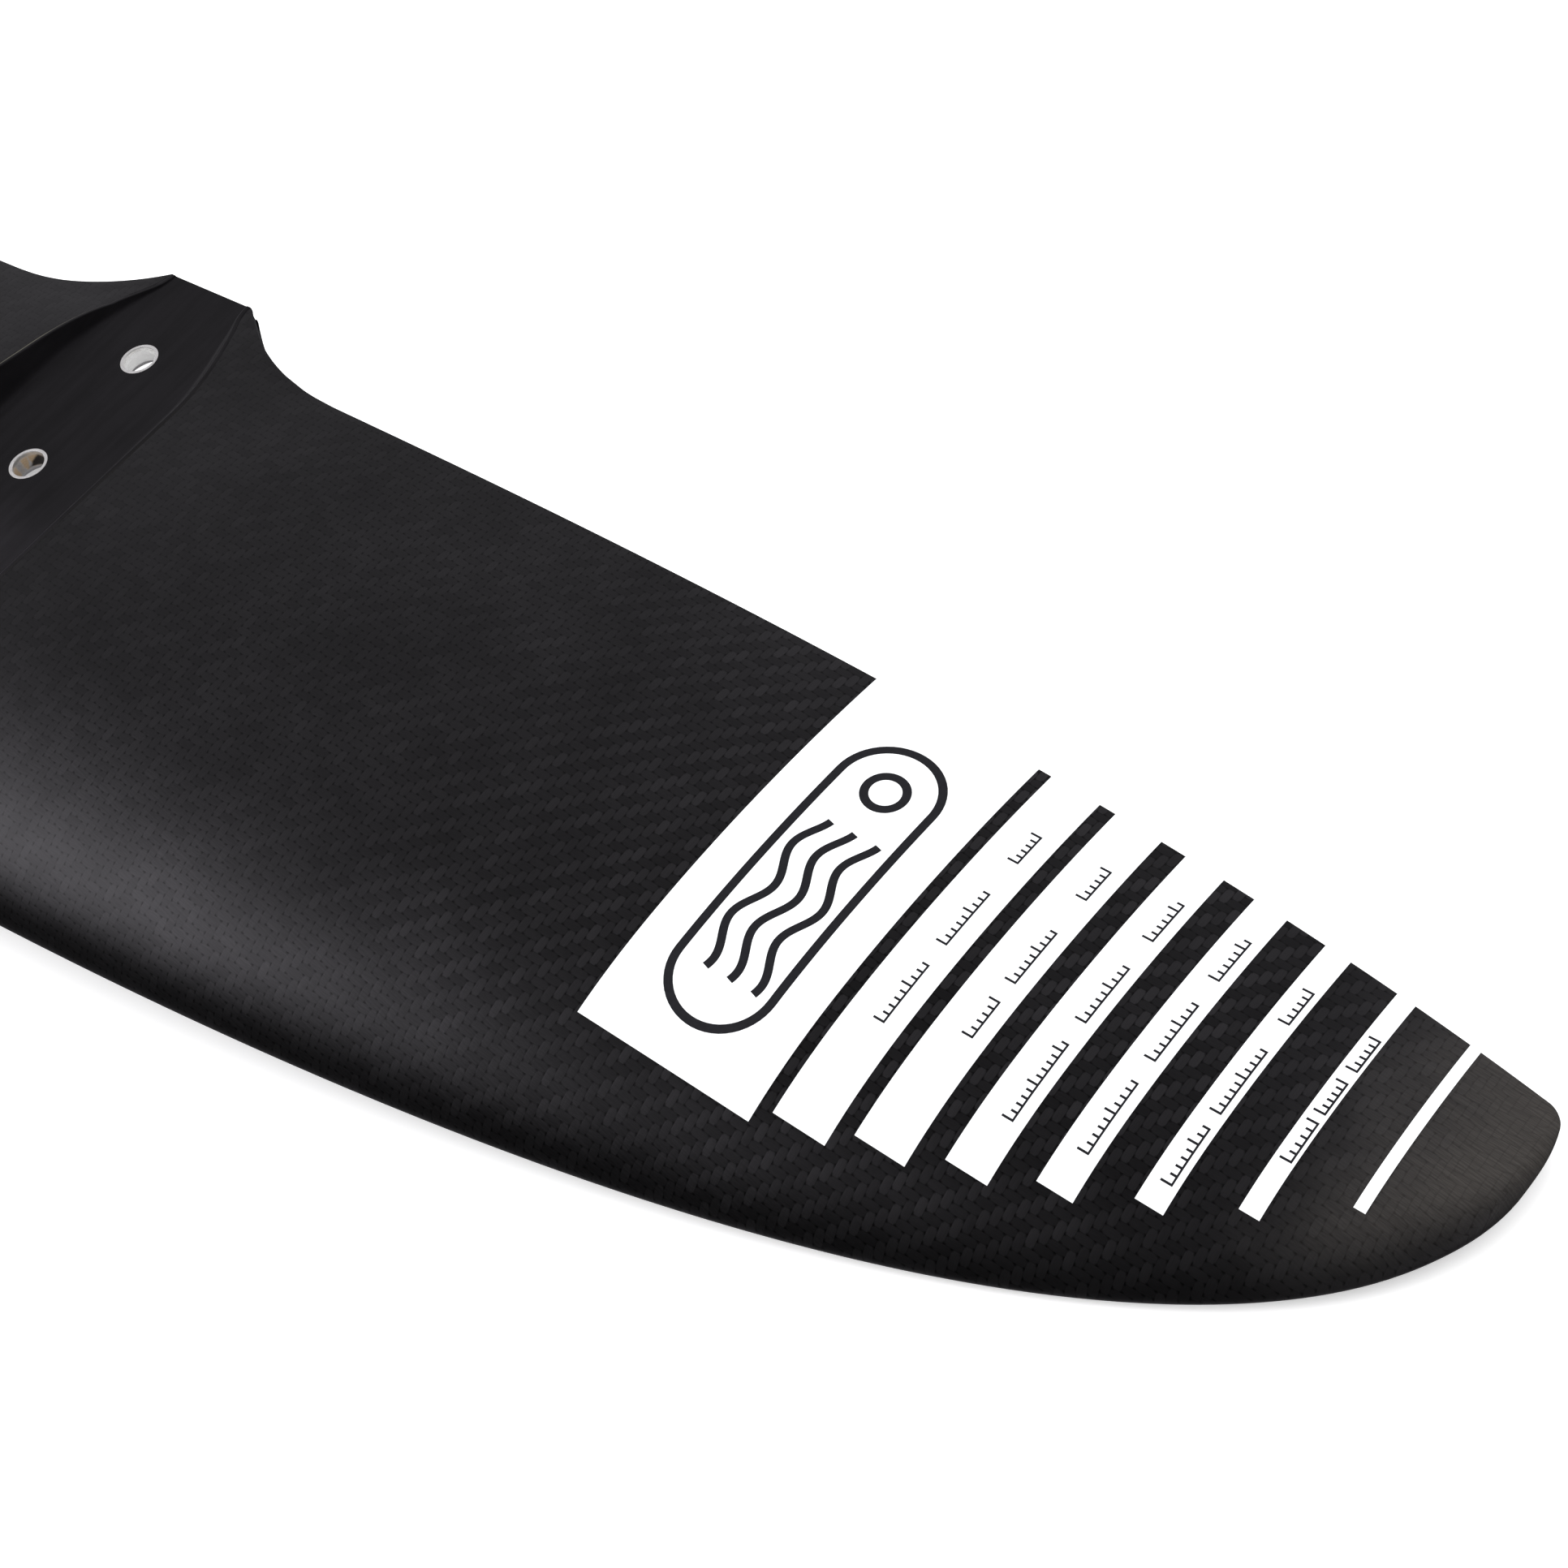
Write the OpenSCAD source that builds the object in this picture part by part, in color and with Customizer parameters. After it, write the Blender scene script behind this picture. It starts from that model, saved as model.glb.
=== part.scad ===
// Hydrofoil front wing with an anhedral planform, a channel on its upper side
// for the fuselage, and three screw ferrules on the centreline.
// Frame: X along the span, Y to the rear, Z up. The origin is the centre of the
// rear screw hole on the channel floor. Millimetres.

/* [Planform] */
// Wing span from tip to tip
span = 810; // [760:5:860]
// Chord at the root, without the rear tab
root_chord = 155; // [148:1:162]
// Distance from the rear screw hole to the trailing edge at the root
te_root = 10.6; // [9:0.2:12]
// How far the trailing edge bows rearward between root and tip
te_bow = 14.8; // [12:0.2:18]
// How far the tips pull the trailing edge forward
te_sweep = 32.4; // [28:0.4:36]
// How far the leading edge runs back from root to tip
le_run = 117; // [108:1:120]
// Fullness of the leading edge near the root
le_full = 1.76; // [1.6:0.02:2]
// Roundness of the leading edge near the tip
le_round = 0.51; // [0.48:0.01:0.56]
// Radius of the rear corner of each tip
tip_corner = 4.5; // [3:0.5:6]

/* [Section] */
// Thickness of the section as a share of its chord
thickness = 0.145; // [0.13:0.005:0.16]
// Camber of the section as a share of its chord
camber = 0.03; // [0.02:0.005:0.04]
// Angle between the chord and the channel floor, nose down
nose_down = 4.4; // [3.5:0.1:5]
// Thickness of the trailing edge
te_edge = 0.8; // [0.6:0.1:1.2]
// Drop of the wing from root towards the tips
anhedral = 58.7; // [50:0.5:62]
// How much the drop levels out again at the tips
level_out = 33.3; // [28:0.5:36]

/* [Laminate] */
// Thickness of the carbon skins
skin_t = 1.2; // [1:0.1:1.5]
// Thickness of the spar caps
cap_t = 1.6; // [1.2:0.1:2]
// Thickness of the seat liner
liner_t = 1; // [0.8:0.1:1.4]
// Thickness of the printed film
film_t = 0.12; // [0.08:0.02:0.2]

/* [Mount] */
// Distance between the screw holes
hole_pitch = 40.7; // [40:0.1:41.5]
// Radius of the screw bore in each ferrule
bore_r = 4.2; // [4.1:0.1:4.4]
// Outer radius of each ferrule at the seat
ferrule_r = 5.2; // [5:0.1:5.6]
// Radius of the countersink at the underside
sink_r = 8; // [7.8:0.1:8.2]
// Half the width of the channel floor
seat_half = 23.5; // [23:0.5:25]
// Front end of the channel floor
seat_front = -108; // [-110:1:-104]
// Half the width of the rear tab
tab_half = 15.6; // [15:0.2:17]
// Rear edge of the tab
tab_rear = 27.3; // [26:0.1:28]
// Depth of the root boss below the channel floor
boss_depth = 8.9; // [8.6:0.1:9.4]

/* [Print] */
// Inner edge of the wide printed panel
panel_in = 228.3; // [226:0.1:230]
// Outer edge of the wide printed panel
panel_out = 272.4; // [270:0.1:274]
// Distance between the outer edges of the stripes
stripe_pitch = 16.15; // [16:0.05:16.3]

/* [Hidden] */

hs = span / 2;
block_half = 40;
core_end = 371;
gap = 0.15;
chord_n = 14;
// Spanwise stations of the skins, finer at the root fairing and the tips
half_x = [0, 8, 15.6, 20, 26, 33, 42, 52, 64, 85, 110, 140, 170, 200, 230, 260,
    290, 315, 335, 352, 366, 378, 388, 395, 400, 403, 404.4, 405];
skin_x = [for (i = [len(half_x) - 1:-1:1]) -half_x[i] * hs / 405,
    for (v = half_x) v * hs / 405];
holes = [-2 * hole_pitch, -hole_pitch, 0];

function sq(v) = v * v;
function smooth(t) = t <= 0 ? 0 : t >= 1 ? 1 : t * t * (3 - 2 * t);
function u(x) = min(abs(x) / hs, 1);

// Leading and trailing edges in plan
function le(x) = te_root - root_chord + le_run * (1 - pow(max(0, 1 - pow(u(x), le_full)), le_round));
function te(x) = te_root + te_bow * sq(u(x)) - te_sweep * pow(u(x), 4);
function tab(x) = abs(x) <= tab_half ? tab_rear - te(x)
    : abs(x) < 64 ? (tab_rear - te(x)) * pow((64 - abs(x)) / (64 - tab_half), 2.4) : 0;
function corner(x) = abs(x) > hs - tip_corner
    ? tip_corner - sqrt(max(0, sq(tip_corner) - sq(abs(x) - hs + tip_corner))) : 0;
function rear(x) = te(x) + tab(x) - corner(x);

// Section: camber line and half thickness
function at(x, y) = min(1, max(0, (y - le(x)) / (te(x) - le(x))));
function cam(c) = c < 0.4 ? camber / 0.16 * (0.8 * c - c * c) : camber / 0.36 * (0.2 + 0.8 * c - c * c);
function half(c) = 5 * thickness * (0.2969 * sqrt(c) - 0.126 * c - 0.3516 * c * c
    + 0.2843 * pow(c, 3) - 0.1036 * pow(c, 4));
function fade(x) = abs(x) > hs - 3 ? max(0.15, sqrt(max(0, 1 - sq((abs(x) - hs + 3) / 3)))) : 1;
function mid0(x, y) = -0.1 - anhedral * sq(u(x)) + level_out * pow(u(x), 4)
    + (min(y, te(x)) - te(x)) * tan(nose_down) + (te(x) - le(x)) * cam(at(x, y));
function half0(x, y) = ((te(x) - le(x)) * half(at(x, y)) + te_edge / 2 * at(x, y)) * fade(x);
// Fairing beside the rear of the channel, and the boss under the screws
function fairing(x, y) = 2.4 * exp(-sq(x / 34)) * exp(-sq((y - 8) / (y < 8 ? 17 : 10)));
function boss_z(y) = -boss_depth + 3.2 * sq(max(0, (y - 12) / 15));
function zu(x, y) = mid0(x, y) + half0(x, y) + fairing(x, y);
function zl0(x, y) = mid0(x, y) - half0(x, y);
function zl(x, y) = zl0(x, y) + smooth((42 - abs(x)) / 31) * min(0, boss_z(y) - zl0(x, y));
function zm(x, y) = (zu(x, y) + zl(x, y)) / 2;
function inner_top(x, y, d) = max(zm(x, y) + gap, zu(x, y) - d);
function inner_low(x, y, d) = min(zm(x, y) - gap, zl(x, y) + d);

// Channel: half width of its floor, and the wall, which leans out at 45 degrees
function floor_half(y) = y > 18 ? 16.6 - 2.8 * smooth((y - 18) / 6) : y > -12 ? 16.6 + (seat_half - 16.6) * sin((18 - y) * 3)
    : y > seat_front + 28 ? seat_half
    : seat_half * sqrt(max(0.04, 1 - sq((seat_front + 28 - y) / 28.6)));

// A closed solid between two grids of points with the same number of rows and columns
module slab(top, low) {
    m = len(top);
    n = len(top[0]);
    pts = [for (r = top) for (p = r) p, for (r = low) for (p = r) p];
    k = m * n;
    function id(i, j) = i * n + j;
    polyhedron(pts, [
        for (i = [0:m - 2]) for (j = [0:n - 2]) for (f = [
            [id(i, j), id(i, j + 1), id(i + 1, j + 1)], [id(i, j), id(i + 1, j + 1), id(i + 1, j)],
            [k + id(i, j), k + id(i + 1, j + 1), k + id(i, j + 1)], [k + id(i, j), k + id(i + 1, j), k + id(i + 1, j + 1)]]) f,
        for (i = [0:m - 2]) for (f = [
            [id(i, 0), id(i + 1, 0), k + id(i + 1, 0)], [id(i, 0), k + id(i + 1, 0), k + id(i, 0)],
            [id(i, n - 1), k + id(i + 1, n - 1), id(i + 1, n - 1)], [id(i, n - 1), k + id(i, n - 1), k + id(i + 1, n - 1)]]) f,
        for (j = [0:n - 2]) for (f = [
            [id(0, j), k + id(0, j + 1), id(0, j + 1)], [id(0, j), k + id(0, j), k + id(0, j + 1)],
            [id(m - 1, j), id(m - 1, j + 1), k + id(m - 1, j + 1)], [id(m - 1, j), k + id(m - 1, j + 1), k + id(m - 1, j)]]) f
    ], convexity = 10);
}

// Share of the chord at row i, closer together at the leading edge
function share(i, n) = 1 - cos(90 * i / n);

// Rows along the span, points along the chord
function rows(xs, n, y0, y1, z) = [for (x = xs) [for (i = [0:n])
    let (y = y0(x) + (y1(x) - y0(x)) * i / n) [x, y, z(x, y)]]];

// A filler between the skins, d below them, between two chordwise lines
module filler(xs, n, y0, y1, d) {
    slab(rows(xs, n, y0, y1, function (x, y) inner_top(x, y, d)),
        rows(xs, n, y0, y1, function (x, y) inner_low(x, y, d)));
}

function side_x(s) = let (v = [block_half + 0.4, 52, 64, 85, 110, 140, 170, 200, 230, 260, 290, 315, 335, 352, core_end])
    s > 0 ? v : [for (i = [len(v) - 1:-1:0]) -v[i]];
function line(x, c) = le(x) + (te(x) - le(x)) * c;

// Lines across the channel from its rear end to its front end, and how far each
// line leans forward with height: fully at the front end, not at all past the curve
channel_y = [tab_rear + 6, 22, 18, 11, 4, -4, -12, -24, -40, -60, seat_front + 28, seat_front + 21,
    seat_front + 14, seat_front + 8, seat_front + 3, seat_front];
channel_n = len(channel_y) - 1;
function lean(i) = i > channel_n - 5 ? 1 - (channel_n - i) / 5 : 0;
function channel_w(i, d) = floor_half(channel_y[i]) + d * 0.42;
function channel_end(i, d) = channel_y[i] - (i == channel_n ? d * 0.42 : 0);

// The channel with its walls, d larger all round, up to height h
module pocket(d, h) {
    slab([for (i = [0:channel_n]) let (w = channel_w(i, d) + h + d, y = channel_end(i, d) - (h + d) * lean(i))
            [[-w, y, h], [w, y, h]]],
        [for (i = [0:channel_n]) let (w = channel_w(i, d), y = channel_end(i, d)) [[-w, y, -d], [w, y, -d]]]);
}

module upper_skin() {
    color("#1b1b1d") difference() {
        slab([for (x = skin_x) [for (i = [0:chord_n]) let (y = le(x) + (rear(x) - le(x)) * share(i, chord_n)) [x, y, zu(x, y)]]],
            [for (x = skin_x) let (a = min(1, (rear(x) - le(x)) / 60)) [for (i = [0:chord_n])
                let (y = le(x) + a + (rear(x) - le(x) - a) * share(i, chord_n)) [x, y, inner_top(x, y, skin_t)]]]);
        pocket(liner_t, 20);
    }
}

module lower_skin() {
    color("#161618") difference() {
        slab([for (x = skin_x) let (a = min(1, (rear(x) - le(x)) / 60)) [for (i = [0:chord_n])
                let (y = le(x) + a + (rear(x) - le(x) - a) * share(i, chord_n)) [x, y, inner_low(x, y, skin_t)]]],
            [for (x = skin_x) [for (i = [0:chord_n]) let (y = le(x) + (rear(x) - le(x)) * share(i, chord_n)) [x, y, zl(x, y)]]]);
        for (y = holes) translate([0, y, -30]) cylinder(h = 40, r = sink_r + 0.6, $fn = 48);
    }
}

module leading_edge_joint() {
    xs = [for (x = skin_x) if (abs(x) < core_end) x];
    color("#2a2a2e") filler(xs, 3, function (x) le(x) + 1.2, function (x) le(x) + 8, skin_t + 0.1);
}

module trailing_edge_strip(s) {
    color("#26262a") filler(side_x(s), 3, function (x) line(x, 0.82), function (x) rear(x) - 0.1, skin_t + 0.05);
}

module spar_cap(s, up) {
    xs = side_x(s);
    color("#303036") if (up) slab(
        rows(xs, 2, function (x) line(x, 0.34), function (x) line(x, 0.47), function (x, y) zu(x, y) - skin_t - 0.1),
        rows(xs, 2, function (x) line(x, 0.34), function (x) line(x, 0.47), function (x, y) zu(x, y) - skin_t - 0.1 - cap_t * (1 - 0.6 * u(x))));
    else slab(
        rows(xs, 2, function (x) line(x, 0.34), function (x) line(x, 0.47), function (x, y) zl(x, y) + skin_t + 0.1 + cap_t * (1 - 0.6 * u(x))),
        rows(xs, 2, function (x) line(x, 0.34), function (x) line(x, 0.47), function (x, y) zl(x, y) + skin_t + 0.1));
}

module spar_web(s) {
    xs = side_x(s);
    color("#3a3a3f") slab(
        rows(xs, 2, function (x) line(x, 0.34), function (x) line(x, 0.47), function (x, y) zu(x, y) - skin_t - 0.2 - cap_t * (1 - 0.6 * u(x))),
        rows(xs, 2, function (x) line(x, 0.34), function (x) line(x, 0.47), function (x, y) zl(x, y) + skin_t + 0.2 + cap_t * (1 - 0.6 * u(x))));
}

module nose_core(s) {
    color("#d8cfa8") filler(side_x(s), 6, function (x) le(x) + 8.2, function (x) line(x, 0.34) - 0.1, skin_t + 0.25);
}

module tail_core(s) {
    color("#d8cfa8") filler(side_x(s), 6, function (x) line(x, 0.47) + 0.1, function (x) line(x, 0.82) - 0.1, skin_t + 0.1);
}

module tip_block(s) {
    v = [core_end + 0.3, 380, 388, 395, 400, 403];
    xs = s > 0 ? v : [for (i = [len(v) - 1:-1:0]) -v[i]];
    color("#232327") filler(xs, 6, function (x) le(x) + 1.2, function (x) rear(x) - 0.1, skin_t + 0.05);
}

// Solid laminate between the skins at the root, with the channel taken out of it
module mount_block() {
    xs = [-block_half, -34, -28, -22, -15, -8, 0, 8, 15, 22, 28, 34, block_half];
    color("#242428") difference() {
        filler(xs, 16, function (x) le(x) + 8.2, function (x) rear(x) - 0.1, skin_t + 0.1);
        pocket(liner_t + 0.05, 20);
        for (y = holes) {
            translate([0, y, -30]) cylinder(h = 40, r = ferrule_r + 0.05, $fn = 48);
            translate([0, y, ferrule_low(y) - 20]) cylinder(h = 20, r = sink_r + 0.6, $fn = 48);
            translate([0, y, ferrule_low(y)]) cylinder(h = 3.4, r1 = sink_r + 0.5, r2 = ferrule_r + 0.05, $fn = 48);
        }
    }
}

// Laminate tray that lines the channel: floor and leaning walls, flush with the skin
module seat_liner() {
    // Height of the wall's upper edge, where the wall meets the upper surface
    function edge(i) = let (w = floor_half(channel_y[i]), y = channel_y[i])
        y > 20 ? 0.3 : max(0.3, (zu(w + 3, y - 3 * lean(i)) + zu(w + 7, y - 7 * lean(i))) / 2);
    function row(i, d) = let (w = channel_w(i, d), y = i == 0 ? tab_rear : channel_end(i, d), h = edge(i) + d,
        yt = y - h * lean(i), e = edge(i))
        [[-w - h, yt, e], [-w, y, -d], [-w / 2, y, -d], [0, y, -d], [w / 2, y, -d], [w, y, -d], [w + h, yt, e]];
    color("#202024") difference() {
        slab([for (i = [0:channel_n]) row(i, 0)], [for (i = [0:channel_n]) row(i, liner_t)]);
        for (y = holes) translate([0, y, -10]) cylinder(h = 20, r = ferrule_r + 0.02, $fn = 48);
    }
}

function ferrule_low(y) = y > -10 ? -8.5 : y > -60 ? -9 : -13.2;

// Countersunk screw ferrule, its top face flush with the channel floor
module ferrule(y) {
    z = ferrule_low(y);
    color("#d9dadc") translate([0, y, 0]) rotate_extrude($fn = 64)
        polygon([[bore_r, 0], [ferrule_r, 0], [ferrule_r, z + 3.4], [sink_r + 0.4, z + 0.2], [sink_r + 0.4, z],
            [sink_r, z], [bore_r, z + sink_r - bore_r]]);
}

// Printed film on the upper skin between two spanwise limits
module film(x0, x1, y0, lift, t) {
    nx = 4;
    ny = 8;
    xs = [for (i = [0:nx]) x0 + (x1 - x0) * i / nx];
    slab(rows(xs, ny, function (x) y0, function (x) rear(x) - 0.2, function (x, y) zu(x, y) + lift + t),
        rows(xs, ny, function (x) y0, function (x) rear(x) - 0.2, function (x, y) zu(x, y) + lift - 0.05));
}

module print_panel(s) {
    color("#f4f5f7") film(s > 0 ? panel_in : -panel_out, s > 0 ? panel_out : -panel_in, -91.7, 0, film_t);
}

// Inner edge and front end of each stripe
stripe_in = [275.8, 292.7, 311, 328.7, 346.8, 364.8, 382.9];
stripe_front = [-87.7, -82.9, -77.6, -71.9, -65, -56.6, -45.3];

module print_stripes(s) {
    color("#f4f5f7") for (i = [0:6]) let (a = stripe_in[i], b = panel_out + stripe_pitch * (i + 1))
        film(s > 0 ? a : -b, s > 0 ? b : -a, stripe_front[i], 0, film_t);
}

// A draped dash on top of the printed film: its centre line, half width and two ends
module dash(c, w, y0, y1) {
    slab([for (x = [c - w, c + w]) [for (y = [y0, (y0 + y1) / 2, y1]) [x, y, zu(x, y) + film_t * 2]]],
        [for (x = [c - w, c + w]) [for (y = [y0, (y0 + y1) / 2, y1]) [x, y, zu(x, y) + film_t]]]);
}

// A draped ribbon along a line of points, w to each side across the span
module ribbon(line, w) {
    slab([for (e = [-w, w]) [for (p = line) [p[0] + e, p[1], zu(p[0] + e, p[1]) + film_t * 2]]],
        [for (e = [-w, w]) [for (p = line) [p[0] + e, p[1], zu(p[0] + e, p[1]) + film_t]]]);
}

// A draped closed band between two loops of points, both anticlockwise from above
module band(outer, inner) {
    n = len(outer);
    function high(p) = [p[0], p[1], zu(p[0], p[1]) + film_t * 2];
    function low(p) = [p[0], p[1], zu(p[0], p[1]) + film_t];
    pts = [for (p = outer) high(p), for (p = inner) high(p), for (p = outer) low(p), for (p = inner) low(p)];
    function id(k, i) = k * n + i % n;
    polyhedron(pts, [for (i = [0:n - 1]) for (f = [
        [id(0, i), id(1, i + 1), id(0, i + 1)], [id(0, i), id(1, i), id(1, i + 1)],
        [id(2, i), id(2, i + 1), id(3, i + 1)], [id(2, i), id(3, i + 1), id(3, i)],
        [id(0, i), id(0, i + 1), id(2, i + 1)], [id(0, i), id(2, i + 1), id(2, i)],
        [id(1, i), id(3, i + 1), id(1, i + 1)], [id(1, i), id(3, i), id(3, i + 1)]]) f], convexity = 10);
}

// Outline with straight sides and round ends, r its half width, y0 and y1 its end centres
function stadium(c, r, y0, y1) = [for (i = [0:7]) let (a = 180 * i / 7) [c + r * cos(a), y1 + r * sin(a)],
    for (i = [1:4]) [c - r, y1 + (y0 - y1) * i / 5],
    for (i = [0:7]) let (a = 180 + 180 * i / 7) [c + r * cos(a), y0 + r * sin(a)],
    for (i = [1:4]) [c + r, y0 + (y1 - y0) * i / 5]];

// Rulings on the stripes: for each of the first six, the ends of three dashes
ruling = [[-60, -45, -39, -23, -14, -5], [-54, -44, -39, -24, -14, -4], [-64, -45, -39, -23, -15, -3],
    [-62, -45, -39, -23, -16, -4], [-59, -46, -42, -25, -17, -8], [-44, -34, -32, -23, -20, -11]];
// Distance of the first ruling from the centreline, and between them
ruling_x = 283;
ruling_pitch = 16.9;

// Plain geometric marks: a rounded outline with three wave lines in it, and rulings on the stripes
module print_marks(s) {
    c = s * (panel_in + panel_out) / 2;
    color("#111113") {
        band(stadium(c, 13, -69.5, -13.5), stadium(c, 11, -69.5, -13.5));
        for (k = [-1:1]) ribbon([for (i = [0:12]) let (y = -69 + 55 * i / 12) [c + s * (k * 6 + 1.6 * sin(30 * i + 60)), y]], 0.8);
        for (i = [0:5]) for (q = [0:2])
            dash(s * (ruling_x + ruling_pitch * i), 0.7, ruling[i][2 * q], ruling[i][2 * q + 1]);
    }
}

upper_skin();
lower_skin();
leading_edge_joint();
trailing_edge_strip(-1);  // trailing_edge_strip_left
trailing_edge_strip(1);  // trailing_edge_strip_right
spar_cap(-1, true);  // spar_cap_upper_left
spar_cap(1, true);  // spar_cap_upper_right
spar_cap(-1, false);  // spar_cap_lower_left
spar_cap(1, false);  // spar_cap_lower_right
spar_web(-1);  // spar_web_left
spar_web(1);  // spar_web_right
nose_core(-1);  // nose_core_left
nose_core(1);  // nose_core_right
tail_core(-1);  // tail_core_left
tail_core(1);  // tail_core_right
tip_block(-1);  // tip_block_left
tip_block(1);  // tip_block_right
mount_block();
seat_liner();
ferrule(holes[0]);  // ferrule_front
ferrule(holes[1]);  // ferrule_middle
ferrule(holes[2]);  // ferrule_rear
print_panel(-1);  // print_panel_left
print_panel(1);  // print_panel_right
print_stripes(-1);  // print_stripes_left
print_stripes(1);  // print_stripes_right
print_marks(-1);  // print_marks_left
print_marks(1);  // print_marks_right
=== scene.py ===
"""Looks of a carbon hydrofoil front wing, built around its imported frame.

Lengths in the shape functions are millimetres, in the frame of the CAD part;
every mesh is scaled to metres when it is made."""

import math

import bpy
import bmesh
import numpy as np
from mathutils import Matrix, Vector

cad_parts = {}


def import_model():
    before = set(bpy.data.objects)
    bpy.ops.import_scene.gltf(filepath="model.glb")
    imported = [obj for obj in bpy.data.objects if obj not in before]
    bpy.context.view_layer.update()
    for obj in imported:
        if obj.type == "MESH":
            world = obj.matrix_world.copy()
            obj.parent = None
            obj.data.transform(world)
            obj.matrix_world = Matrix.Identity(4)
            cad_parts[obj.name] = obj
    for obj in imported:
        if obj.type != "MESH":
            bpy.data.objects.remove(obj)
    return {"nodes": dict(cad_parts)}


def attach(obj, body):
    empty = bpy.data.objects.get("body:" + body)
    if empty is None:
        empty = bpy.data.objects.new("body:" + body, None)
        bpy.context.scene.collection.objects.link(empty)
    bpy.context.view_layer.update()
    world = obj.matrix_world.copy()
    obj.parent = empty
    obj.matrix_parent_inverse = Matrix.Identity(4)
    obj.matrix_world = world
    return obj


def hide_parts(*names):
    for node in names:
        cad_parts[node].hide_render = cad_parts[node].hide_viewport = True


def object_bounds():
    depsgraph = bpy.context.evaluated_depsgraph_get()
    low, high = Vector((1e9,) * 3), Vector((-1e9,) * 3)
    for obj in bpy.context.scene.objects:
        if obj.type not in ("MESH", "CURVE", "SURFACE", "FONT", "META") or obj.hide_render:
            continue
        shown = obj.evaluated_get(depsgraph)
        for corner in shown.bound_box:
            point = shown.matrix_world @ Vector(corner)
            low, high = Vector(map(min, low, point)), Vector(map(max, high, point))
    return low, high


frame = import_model()
cad_box = [list(v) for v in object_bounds()]
nodes = frame["nodes"]
scene = bpy.context.scene
MM = 0.001

# ---------------------------------------------------------------- the shape

HS = 405.0          # half span
SKIN = 1.2          # skin thickness
LINER = 1.0         # seat liner thickness
PITCH = 40.7        # distance between the screws
BORE, RIM, SINK = 4.2, 5.2, 8.0
TAB_HALF, TAB_REAR = 15.6, 27.3
EDGE = 0.34         # radius on the trailing edge


def smooth(t):
    t = np.clip(t, 0.0, 1.0)
    return t * t * (3 - 2 * t)


def uu(x):
    return np.minimum(np.abs(x) / HS, 1.0)


def le(x):
    return 10.6 - 155 + 117 * (1 - np.maximum(0.0, 1 - uu(x) ** 1.76) ** 0.51)


def te(x):
    return 10.6 + 14.8 * uu(x) ** 2 - 32.4 * uu(x) ** 4


def rear(x):
    a = np.abs(x)
    tab = np.where(a <= TAB_HALF, TAB_REAR - te(x), np.where(
        a < 64, (TAB_REAR - te(x)) * (np.clip(64 - a, 0, None) / (64 - TAB_HALF)) ** 2.4, 0.0))
    corner = np.where(a > HS - 3.2, 3.2 - np.sqrt(np.maximum(0.0, 3.2 ** 2 - (a - HS + 3.2) ** 2)), 0.0)
    return te(x) + tab - corner


def at(x, y):
    return np.clip((y - le(x)) / (te(x) - le(x)), 0.0, 1.0)


def cam(c):
    return np.where(c < 0.4, 0.03 / 0.16 * (0.8 * c - c * c), 0.03 / 0.36 * (0.2 + 0.8 * c - c * c))


def half(c):
    return 5 * 0.145 * (0.2969 * np.sqrt(c) - 0.126 * c - 0.3516 * c ** 2 + 0.2843 * c ** 3 - 0.1036 * c ** 4)


def zmid(x, y):
    u = uu(x)
    return (-0.1 - 58.7 * u ** 2 + 33.3 * u ** 4 + (np.minimum(y, te(x)) - te(x)) * math.tan(math.radians(4.4))
            + (te(x) - le(x)) * cam(at(x, y)))


def zhalf(x, y):
    a = np.abs(x)
    fade = np.where(a > HS - 3, np.maximum(0.15, np.sqrt(np.maximum(0.0, 1 - ((a - HS + 3) / 3) ** 2))), 1.0)
    return ((te(x) - le(x)) * half(at(x, y)) + 0.4 * at(x, y)) * fade


def zu(x, y):
    fair = 2.4 * np.exp(-(x / 34) ** 2) * np.exp(-((y - 8) / np.where(y < 8, 17.0, 10.0)) ** 2)
    return zmid(x, y) + zhalf(x, y) + fair


def zl(x, y):
    low = zmid(x, y) - zhalf(x, y)
    boss = -8.9 + 3.2 * np.maximum(0.0, (y - 12) / 15) ** 2
    return low + smooth((42 - np.abs(x)) / 31) * np.minimum(0.0, boss - low)


def edge_drop(x, y):
    """How far the outer surface falls away over the rounded rear edge."""
    t = np.clip(y - (rear(x) - EDGE), 0.0, EDGE)
    return EDGE - np.sqrt(np.maximum(EDGE ** 2 - t ** 2, 0.0))


def top_z(x, y):
    return zu(x, y) - np.minimum(edge_drop(x, y), np.maximum(zu(x, y) - zl(x, y), 0.02) / 2 - 0.01)


def low_z(x, y):
    return zl(x, y) + np.minimum(edge_drop(x, y), np.maximum(zu(x, y) - zl(x, y), 0.02) / 2 - 0.01)


# ------------------------------------------------------------- mesh helpers

def new_object(name, verts, faces, soft=40.0):
    """A mesh from millimetre points; edges sharper than soft degrees stay sharp."""
    me = bpy.data.meshes.new(name)
    me.from_pydata((np.asarray(verts, float) * MM).tolist(), [], [list(map(int, f)) for f in faces])
    me.validate()
    ob = bpy.data.objects.new(name, me)
    scene.collection.objects.link(ob)
    shade(ob, soft)
    return ob


def shade(ob, soft=40.0):
    me = ob.data
    me.polygons.foreach_set("use_smooth", [True] * len(me.polygons))
    me.set_sharp_from_angle(angle=math.radians(soft))
    me.update()


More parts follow.
